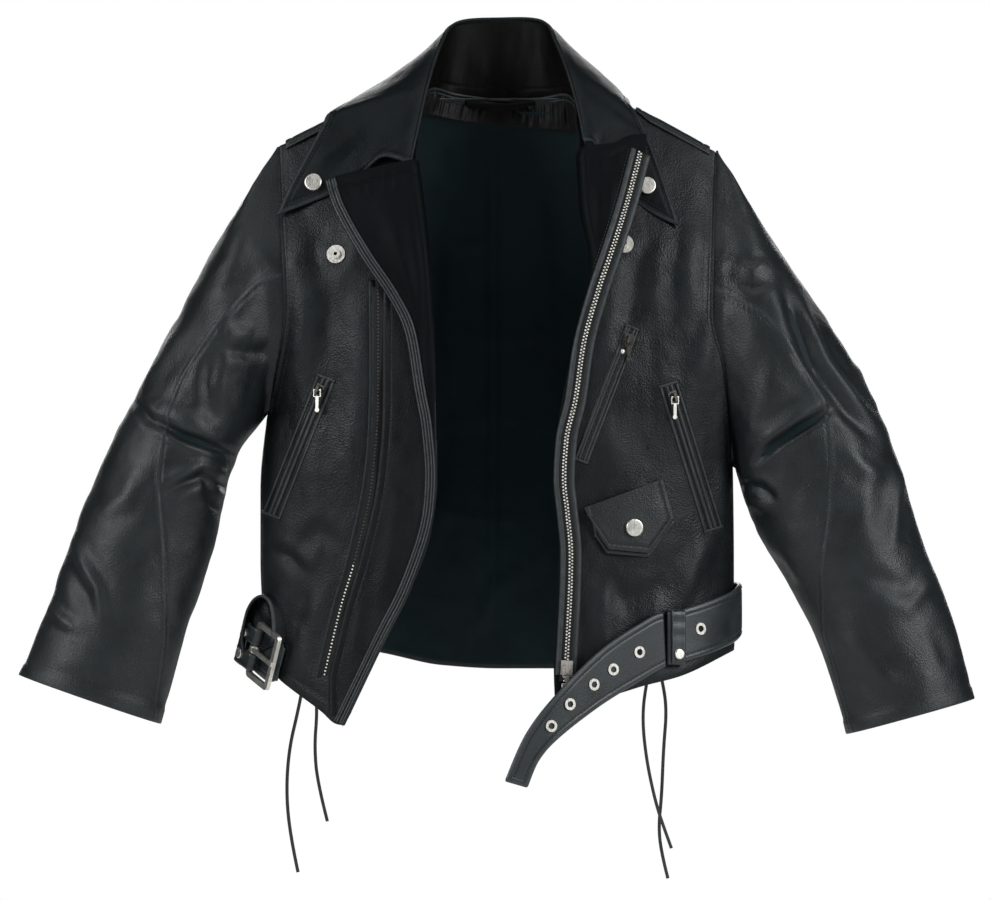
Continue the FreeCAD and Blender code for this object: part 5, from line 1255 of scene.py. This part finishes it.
POCKETS = {
    "right_pocket": ((-157, -256), (-197, -356), "right"),
    "left_pocket": ((151, -262), (184, -368), "left"),
    "chest_pocket": ((112, -212), (75, -308), "left"),
}
WELT_FACE = ((-1, -0.3), (-1.05, 0.3), (-0.8, 0.75), (-0.3, 1.0), (0.3, 1.0), (0.8, 0.75), (1.05, 0.3),
             (1, -0.3))
# pale crest of each welt lip and rim: wear and painted highlight together
WELT_WEAR_AND_HIGHLIGHT = (0, 0.02, 0.1, 0.36, 0.1, 0.05, 0.02, 0)
BAR_FACE = ((-1.6, -0.2), (-1.5, 0.5), (-0.6, 1.2), (0.6, 1.2), (1.5, 0.5), (1.6, -0.2))
chain_places = []
for word, (top, foot, where) in POCKETS.items():
    face = fronts[where]
    way = unit(np.array(top, float) - np.array(foot, float))
    cross = np.array([-way[1], way[0]])
    head, tail = np.array(top) + way * 10.5, np.array(foot) - way * 10.5
    count = int(np.linalg.norm(head - tail) / 2.0)
    middle = np.linspace(tail, head, count)
    path, normals = laid(face, middle, 0.25)
    narrow = word == "chest_pocket"
    half = 3.6 if narrow else 4.8
    bed = ((-half, -0.2), (-half, 0.3), (half, 0.3), (half, -0.2))
    ribbon(word + "_slot", path, normals, bed, TAPE, ["pocket_zip_chains", "pocket_bags"], slot="zip_teeth")
    line, out, forward = spaced(path, normals, 2.6)
    sideways = unit(np.cross(out, unit(forward)))
    chain_places += [(p - n * 0.1 + a * (0.55 if k % 2 else -0.55), a, n, (1.0, 0.75, 0.5))
                     for k, (p, n, a) in enumerate(zip(line, out, sideways))]
    lip_at, lip_half, rise = (2.4, 1.2, 1.3) if narrow else (2.0, 1.85, 1.5)
    rim_at = 5.0 if narrow else 7.2
    for sign in (-1, 1):
        for kind, offset, half, high in (("_lip", lip_at, lip_half, rise), ("_rim", rim_at, 1.5, 0.9)):
            path, normals = laid(face, beside(middle, sign * offset), 0.1)
            ribbon(word + kind + ("_a" if sign > 0 else "_b"), path, normals,
                   [(half * c, high * h) for c, h in WELT_FACE], EDGE, [word + "_welt"], WELT_WEAR_AND_HIGHLIGHT)
        sew(word + "_welt", *laid(face, beside(middle, sign * (rim_at + 2.6)), 0.1))
    for end_point, sign in ((head, 1), (tail, -1)):
        for shift in (0.6, 3.6):
            bar = np.linspace(-1, 1, 12)[:, None] * cross * (rim_at + 1.4) + end_point + way * sign * shift
            path, normals = laid(face, bar, 0.15)
            if shift < 1:
                ribbon(word + "_bar_" + ("top" if sign > 0 else "foot"), path, normals, BAR_FACE, EDGE,
                       [word + "_welt"], (0, 0.05, 0.3, 0.1, 0.05, 0))
            else:
                sew(word + "_welt", path, normals, 2.2, 1.8)
bead_at, bead_out = fronts["left"](np.array([105.0]), np.array([-224.0]), 8.5)
blob_rows("chest_pull_bead", [(bead_at[0], UP, bead_out[0], (2.3, 2.0, 1.8))], TOOTH, [], "nickel",
          "chest_pocket_pull", 16)
blob_rows("pocket_zip_teeth", chain_places, GLOOM, ["pocket_zip_chains"], "zip_teeth", sides=6)

# ------------------------------------------------------------------ coin pocket and flap

FLAP_TOP = ((74, -360), (141, -335))
FLAP_FOOT = ((76, -366), (94.5, -395.5), (129, -399), (151, -369))
POUCH_TOP = ((80, -366), (141, -343))
POUCH_FOOT = ((83, -384), (93.5, -399), (130, -402.5), (152.5, -373))


def straight(points, share):
    """Points at shares of the length of straight lines through points."""
    line, _ = resample(np.array(points, float), 0.5)
    place = np.clip(share, 0, 1) * (len(line) - 1)
    return np.stack([np.interp(place, np.arange(len(line)), line[:, k]) for k in (0, 1)], axis=-1)


def patch_piece(name, top, foot, lift, thick, body, nodes, seed, shares=(0.0, 1.0)):
    us, vs = np.linspace(0, 1, 110), np.linspace(0, 1, 80)
    a, b = straight(top, us), straight(foot, us)
    share = lerp(shares[0], shares[1], vs)
    xz = a[:, None, :] + (b - a)[:, None, :] * share[None, :, None]
    x, z = xz[..., 0], xz[..., 1]
    base = on_torso(x, z)
    out = torso_normal(x, z)
    spread = np.linalg.norm(b - a, axis=1)[:, None]
    near = np.minimum((1 - vs)[None, :] * spread, np.minimum(us, 1 - us)[:, None] * 68)
    height = lift + 0.8 * smooth(near / 9) + 0.5 * bell(near - 2.0, 1.6)
    height += -0.5 * bell(near - 4.6, 0.8) + 0.4 * noise(base, (14, 14, 14), seed)
    wear = 0.4 * bell(near, 1.4)
    points, normals = panel(name, base, out, height, HIDE, nodes, "left_front_leather", wear, thick, body)
    k = np.argmin(np.abs((1 - vs)[None, :] * spread - 4.4), axis=1)
    rows = np.arange(7, len(us) - 7)
    sew(nodes[0], points[rows, k[rows]], normals[rows, k[rows]], body=body)
    for row in (7, len(us) - 8):
        sew(nodes[0], points[row, 4:k[row]], normals[row, 4:k[row]], body=body)


patch_piece("coin_pouch", POUCH_TOP, POUCH_FOOT, 2.4, 2.2, "shell", ["coin_pocket"], 141, (0.06, 1.0))
patch_piece("coin_flap_leather", FLAP_TOP, FLAP_FOOT, 5.6, LEATHER, "coin_flap", ["coin_flap"], 142)

# ------------------------------------------------------------------ belt

def waist(turn, z, lift=0.0):
    def ring(angle):
        across = np.cos(angle)
        x = np.where(across > 0, at(RIGHT_SIDE, z), at(LEFT_SIDE, z)) * np.abs(across) * 0.99999
        y = np.where(np.sin(angle) < 0, torso_depth(x, z, True), torso_depth(x, z, False))
        return np.stack([x, y, z], axis=-1)

    here = ring(turn)
    out = unit(np.cross(ring(turn + 0.02) - ring(turn - 0.02), np.array([0, 0, 1.0])))
    inside = here - np.stack([0 * z, 0 * z + TORSO_MID, z], axis=-1)
    out[np.sum(out * inside, axis=-1) < 0] *= -1
    return here + out * np.asarray(lift)[..., None], out


def belt_piece(name, base, out, body, nodes, ends=None, swell=0.35):
    """Belt leather with rolled edges and a stitched line inside each of them."""
    nu, nv = base.shape[:2]
    wide = np.linalg.norm(base[:, -1] - base[:, 0], axis=1)[:, None]
    v_line = np.linspace(0, 1, nv)[None, :]
    near = np.minimum(v_line, 1 - v_line) * wide
    long = run(base[:, nv // 2])[:, None]
    near_all = np.minimum(near, long[-1] - long)
    height = BELT_THICK / 2 + swell * smooth(near_all / 3) - 0.55 * bell(near_all - 4.0, 0.7)
    height += 0.7 * swell * (bell(near_all - 2.2, 1.2) + noise(base, (25, 25, 20), 151))
    wear = 0.45 * bell(near_all, 1.2) + 0.1 * np.clip(noise(base, (9, 9, 9), 152), 0, 1)
    points, normals = panel(name, base, out, height, STRAP, nodes, "back_leather", wear, BELT_THICK, body,
                            ends=ends)
    for v_at in (4.0, -4.0):
        k = np.argmin(np.abs(v_line * wide - (v_at if v_at > 0 else wide + v_at)), axis=1)
        rows = np.arange(3, nu - 3)
        sew(nodes[0], points[rows, k[rows]], normals[rows, k[rows]], 3.6, 2.6, 0.4, body)


turn = np.linspace(0.14, math.pi + 0.785, 420)[:, None]
v_line = np.linspace(0, 1, 34)[None, :]
z = at(BELT_MIDDLE, turn) + BELT_WIDTH * (v_line - 0.5)
base, out = waist(turn + 0 * z, z, np.full(z.shape, BELT_LIFT))
belt_piece("belt_band_leather", base, out, "shell", ["belt_band"])

us, vs = np.linspace(0, 1, 200), np.linspace(0, 1, 46)
a, b = along(TAIL_TOP, us), along(TAIL_FOOT, us)
base = a[:, None] + (b - a)[:, None] * vs[None, :, None]
out = grid_normals(base, np.broadcast_to(np.array([0, -1.0, 0]), base.shape))
TAIL_ENDS = Vector((0.146, -0.128, -0.475)), Vector((0.131, -0.138, -0.480))
belt_piece("belt_tail_leather", base, out, "belt_tail", ["belt_tail"], TAIL_ENDS, 0.1)

for name, node, turn_at, wide in (("belt_loop_right", "belt_loops", 0.95, 6.0),
                                  ("belt_loop_left", "belt_loops", 2.19, 6.0),
                                  ("belt_keeper_leather", "belt_keeper", math.pi + 0.735, 6.6)):
    mid = float(at(BELT_MIDDLE, np.array(turn_at)))
    t = np.array([turn_at])
    lift = np.array([BELT_LIFT])
    (above, _), (here, out0), (below, _) = (
        waist(t, np.array([mid + step]), lift) for step in (20.0, 0.0, -20.0))
    up = unit(above - below)[0]
    out0 = unit(out0[0] - up * np.dot(out0[0], up))
    half_high, half_deep = BELT_WIDTH / 2 + 1.7, BELT_THICK / 2 + 1.5
    round_at = 2.6
    loop = [((half_high - round_at) * east + round_at * math.cos(a),
             (half_deep - round_at) * north + round_at * math.sin(a))
            for east, north, start in ((1, 1, 0), (-1, 1, 90), (-1, -1, 180), (1, -1, 270))
            for a in np.radians(np.linspace(start, start + 90, 7))]
    loop = np.array(loop + loop[:1])
    fine, _ = resample(loop, 1.5)
    path = here[0] + fine[:, :1] * up + fine[:, 1:] * out0
    core = np.array([half_high - 3, half_deep - 3])
    bulge = unit(fine - np.clip(fine, -core, core) * 0.98)
    normals = unit(bulge[:, :1] * up + bulge[:, 1:] * out0)
    path = path + normals * (0.35 * noise(path, (6, 6, 6), 161))[:, None]
    profile = mirrored(((-wide, -0.7), (-wide, 0.5), (-wide + 1.0, 1.0), (-wide + 2.2, 0.6)), 1.0)
    ribbon(name, path, normals, profile, STRAP, [node], (0, 0.4, 0.3, 0, 0.05, 0, 0.3, 0.4, 0))

# ------------------------------------------------------------------ buckle tab, straps' end and knots

BAR = np.array([-216.5, -74, -484.0])
TO_TIP = np.array([0.4717, -0.8046, -0.3607])
BAR_UP = np.array([0.2294, -0.2830, 0.9313])
BAR_OUT = np.array([-0.8514, -0.5220, 0.0511])


def in_buckle(points):
    p = np.asarray(points, float)
    return BAR + p[:, :1] * TO_TIP + p[:, 1:2] * BAR_UP + p[:, 2:3] * BAR_OUT


for word, low, high in (("lower", -19.0, -4.6), ("upper", 4.6, 19.0)):
    mid, half = (low + high) / 2, (high - low) / 2
    round_the_bar = [(4.4 * math.cos(t), 4.4 * math.sin(t))
                     for t in np.linspace(math.radians(105), math.radians(-195), 26)]
    fine, _ = resample(np.array([(-21, 4.3), (-14, 4.4), (-6, 4.5)] + round_the_bar), 1.2)
    path = in_buckle(np.column_stack([fine[:, 0], np.full(len(fine), mid), fine[:, 1]]))
    way = unit(np.gradient(fine, axis=0))
    side_out = np.column_stack([-way[:, 1], way[:, 0]])
    side_out[side_out[:, 1] * (fine[:, 0] < -5) < 0] *= -1
    normals = side_out[:, :1] * TO_TIP + side_out[:, 1:] * BAR_OUT
    profile = mirrored(((-half, -0.8), (-half - 0.3, 0.1), (-half, 0.8), (-half + 1.6, 1.05),
                        (-half + 2.8, 0.7)), 0.95)
    ribbon("buckle_tab_" + word, path, unit(normals), profile, STRAP, ["buckle_tab"],
           (0, 0.4, 0.45, 0.25, 0, 0.1, 0, 0.25, 0.45, 0.4, 0))
plate = np.stack(np.meshgrid(np.linspace(-21, -9.6, 16), np.linspace(-19, 19, 40), indexing="ij"), axis=-1)
flat3 = np.concatenate([plate, np.full((16, 40, 1), 4.9)], axis=-1)
base = in_buckle(flat3.reshape(-1, 3)).reshape(16, 40, 3)
out = np.broadcast_to(BAR_OUT, base.shape)
height = 0.35 * noise(base, (8, 8, 8), 171) - 0.5 * bell(np.abs(plate[..., 1]) - 15.5, 0.8)
panel("buckle_tab_plate", base, out, height, STRAP, ["buckle_tab"], thick=2.2)

us, vs = np.linspace(0, 1, 60), np.linspace(0, 1, 60)
along_tab = lerp(-20.0, 32.0, us)[:, None] + 0 * vs[None, :]
round_end = 1 - 0.3 * smooth((us - 0.7) / 0.3)[:, None] ** 2
up_tab = (2 * vs[None, :] - 1) * 21.0 * round_end - 2.0 * us[:, None]
behind = -5.6 - 3.0 * smooth(us)[:, None] + 0 * up_tab
flat3 = np.stack([along_tab, up_tab, behind], axis=-1)
base = in_buckle(flat3.reshape(-1, 3)).reshape(60, 60, 3)
out = np.broadcast_to(BAR_OUT, base.shape)
near = np.minimum(21.0 - np.abs(up_tab), 32.0 - along_tab)
height = 0.8 * noise(base, (9, 9, 9), 172) - 0.5 * bell(near - 4.0, 0.8)
panel("buckle_tab_back", base, out, height, STRAP, ["buckle_tab"], wear=0.3 * bell(near, 1.4), thick=2.0)
ARCH = ((-226.5, -62, -486), (-227, -66, -470), (-222, -70, -451), (-214, -76, -440), (-205, -84, -437),
        (-197.5, -92, -444), (-194.5, -97, -461), (-195, -98, -478))
path = curve(ARCH, 1.5)
centre = np.array([-210.0, -80.0, -472.0])
normals = unit((path - centre) * np.array([1, 0.6, 1]) + np.array([0, -8.0, 0]))
half_band = ((-1, -0.9), (-1.06, 0.2), (-0.95, 1.0), (-0.75, 1.2), (-0.5, 0.8))
band = [(7.5 * a, 1.2 * b) for a, b in mirrored(half_band, 1.0)]
spread = lerp(0.04, 1, np.linspace(0, 1, 24))[None, :, None]
heart = np.array([-211.0, -84.0, -484.0])
base = heart + (path[:, None] - heart) * spread + np.array([0, 5.0, 0])
out = grid_normals(base, np.broadcast_to(np.array([0, -1.0, 0]), base.shape))
height = 1.2 * noise(base, (9, 9, 9), 173)
panel("buckle_tab_fold", base, out, height, SHADED_HIDE, ["buckle_tab"], thick=2.0)
ribbon("buckle_tab_arch", path, normals, band, EDGE, ["buckle_tab"],
       (0, 0.2, 0.3, 0.15, 0, 0, 0, 0.15, 0.5, 0.3, 0))

for word, spot in (("right", (-170, -13, -495.5)), ("left", (137, 1, -492.5))):
    t = np.linspace(0, 1, 120)
    angle = t * 2 * math.pi * 2
    radius = 4.4 + 1.0 * np.cos(angle * 1.5)
    path = np.stack([spot[0] + radius * np.cos(angle) * 1.15, spot[1] + 2.4 * np.sin(angle * 1.5),
                     spot[2] + 2.6 * np.sin(angle)], axis=-1)
    profile = tuple((1.45 * math.cos(a), 1.45 * math.sin(a)) for a in np.linspace(0, 2 * math.pi, 9)[:-1])
    normals = unit(np.cross(np.gradient(path, axis=0), np.array([0.3, 0.9, 0.2])))
    ribbon(word + "_lace_knot", path, normals, profile, CORD, ["lace_knots"], slot="lace")

# ------------------------------------------------------------------ rows of stitches, painted shade in holes

SEAM_INSET, HEM_INSET = 5.6, 11.0
for right, word in ((True, "right"), (False, "left")):
    face = fronts[word]
    sign = 1 if right else -1
    table = RIGHT_SIDE if right else LEFT_SIDE
    z = np.arange((RIGHT_ARMPIT if right else LEFT_ARMPIT) + 4, (-52 if right else -58), 3.0)
    for inset in (4.2, 9.0):
        sew(word + "_front_panel", *face(at(table, z) + sign * inset, z, 0.05))
    x, z = front_grid(right, np.linspace(0.03, 0.93, 90), np.array([0.0]))
    sew(word + "_front_panel", *face(x[:, 0], z[:, 0] + HEM_INSET, 0.05))
    points, normals, turns, s_line, seam, girth = sleeve_faces[word]
    k = np.arange(int(0.02 * len(s_line)), len(s_line) - 1)
    share = (seam[k] - SEAM_INSET / girth[k] * 2 * math.pi) / (2 * math.pi)
    i = np.round(share * len(turns)).astype(int) % len(turns)
    sew(word + "_top_sleeve", points[i, k], normals[i, k], body=word + "_sleeve")
    length = np.linalg.norm(np.diff(points[0], axis=0), axis=1).sum()
    k = len(s_line) - 1 - int(round(11.5 / length * len(s_line)))
    ring = np.concatenate([points[:, k], points[:1, k]])
    sew(word + "_top_sleeve", ring, np.concatenate([normals[:, k], normals[:1, k]]), body=word + "_sleeve")

# painted shade: a flat near-black disc at each awl hole
for x, z, face, owner in ((-82.0, -345.0, placket, "right_placket"),
                          (129.0, -307.0, fronts["left"], "left_front_panel")):
    p, n = face(np.array([x]), np.array([z]), -0.1)
    blob_rows("awl_hole_" + owner, [(p[0], np.array([1.0, 0, 0]), n[0], (2.2, 1.9, 0.35))], HOLE_SHADE, [owner],
              sides=12)

# painted shade: a near-black disc inside each of two belt eyelets
for name, spot, facing, owner, body in (
        ("belt_band_hole", (175.3, -110.4, -466.0), (0.532, -0.846, 0.018), "belt_band", "shell"),
        ("belt_tail_hole", (121.3, -143.4, -486.0), (0.481, -0.877, -0.005), "belt_tail", "belt_tail")):
    facing = np.array(facing)
    blob_rows(name, [(np.array(spot) + facing * 2.1, UP, facing, (2.7, 2.7, 0.35))], HOLE_SHADE, [owner], body=body,
              sides=16)

for (owner, body), places in SEWN.items():
    ends = TAIL_ENDS if body == "belt_tail" else None
    if body.endswith("_sleeve"):
        ends = armhole_ends(sleeve_faces[body.split("_")[0]][0], 23)
    blob_rows("thread_" + owner, places, THREAD, [owner], body=body, sides=5, ends=ends)

# ------------------------------------------------------------------ carried over, stage, end

PAINT = {"leather": HIDE, "lining": LINING, "facing": RUCHED, "nickel": NICKEL, "zip_teeth": TOOTH,
         "lace": CORD}
# painted shade: the pocket sliders and the chest pull get the dark metal_in_shade instead of nickel
PAINTED_SHADE_SLIDERS = ("chest_pocket_slider", "chest_pocket_pull", "right_pocket_slider", "left_pocket_slider")
slot_of = {s["node"]: s["material_slot"] for s in frame["record"]["subparts"]}
for node, obj in frame["nodes"].items():
    where = np.array([v.co for v in obj.data.vertices])
    if not obj.data.attributes.get("rest"):
        obj.data.attributes.new("rest", "FLOAT_VECTOR", "POINT").data.foreach_set("vector", where.ravel())
    for slot in obj.material_slots:
        slot.material = GLOOM if node in PAINTED_SHADE_SLIDERS else PAINT[slot_of[node]]

FLOOR_HALF, FLOOR_Z = 2.2, -0.95
floor_mesh = bpy.data.meshes.new("floor")
corners = [(FLOOR_HALF * i, FLOOR_HALF * j, FLOOR_Z) for i, j in ((-1, -1), (1, -1), (1, 1), (-1, 1))]
floor_mesh.from_pydata(corners, [], [(0, 1, 2, 3)])
floor = bpy.data.objects.new("floor", floor_mesh)
scene.collection.objects.link(floor)
floor_mesh.materials.append(plain("floor_pale", (0.80, 0.80, 0.80), (0.84, 0.84, 0.84), 0.7, 3.0))


JACKET_MIDDLE = Vector((0, -0.06, -0.28))


def soft_light(name, where, size, power, colour=(1, 1, 1)):
    lamp = bpy.data.lights.new(name, "AREA")
    lamp.shape = "RECTANGLE"
    lamp.size, lamp.size_y = size
    lamp.energy = power
    lamp.color = colour
    obj = bpy.data.objects.new(name, lamp)
    obj.location = where
    obj.rotation_euler = (JACKET_MIDDLE - Vector(where)).to_track_quat("-Z", "Y").to_euler()
    scene.collection.objects.link(obj)


COOL = (0.95, 0.985, 1.0)
soft_light("left_box", (-2.1, -1.5, 0.75), (1.0, 1.5), 43, COOL)
soft_light("right_box", (2.1, -1.6, 0.7), (1.0, 1.5), 51, COOL)
soft_light("top_box", (0.0, -0.9, 2.3), (1.8, 0.9), 13)
soft_light("low_box", (0.0, -2.6, -0.78), (2.6, 0.3), 3.5)
soft_light("back_box", (0.0, 2.6, 0.5), (2.6, 1.6), 55)

world = bpy.data.worlds.new("studio")
scene.world = world
world.use_nodes = True
tree = world.node_tree
tree.nodes.clear()
seen = add(tree, "ShaderNodeBackground", {0: (1, 1, 1, 1), 1: 1.0}).outputs[0]
lit = add(tree, "ShaderNodeBackground", {0: (0.93, 0.97, 1.0, 1), 1: 0.07}).outputs[0]
from_camera = add(tree, "ShaderNodeLightPath").outputs["Is Camera Ray"]
mix = add(tree, "ShaderNodeMixShader", {0: from_camera, 1: lit, 2: seen}).outputs[0]
add(tree, "ShaderNodeOutputWorld", {0: mix})
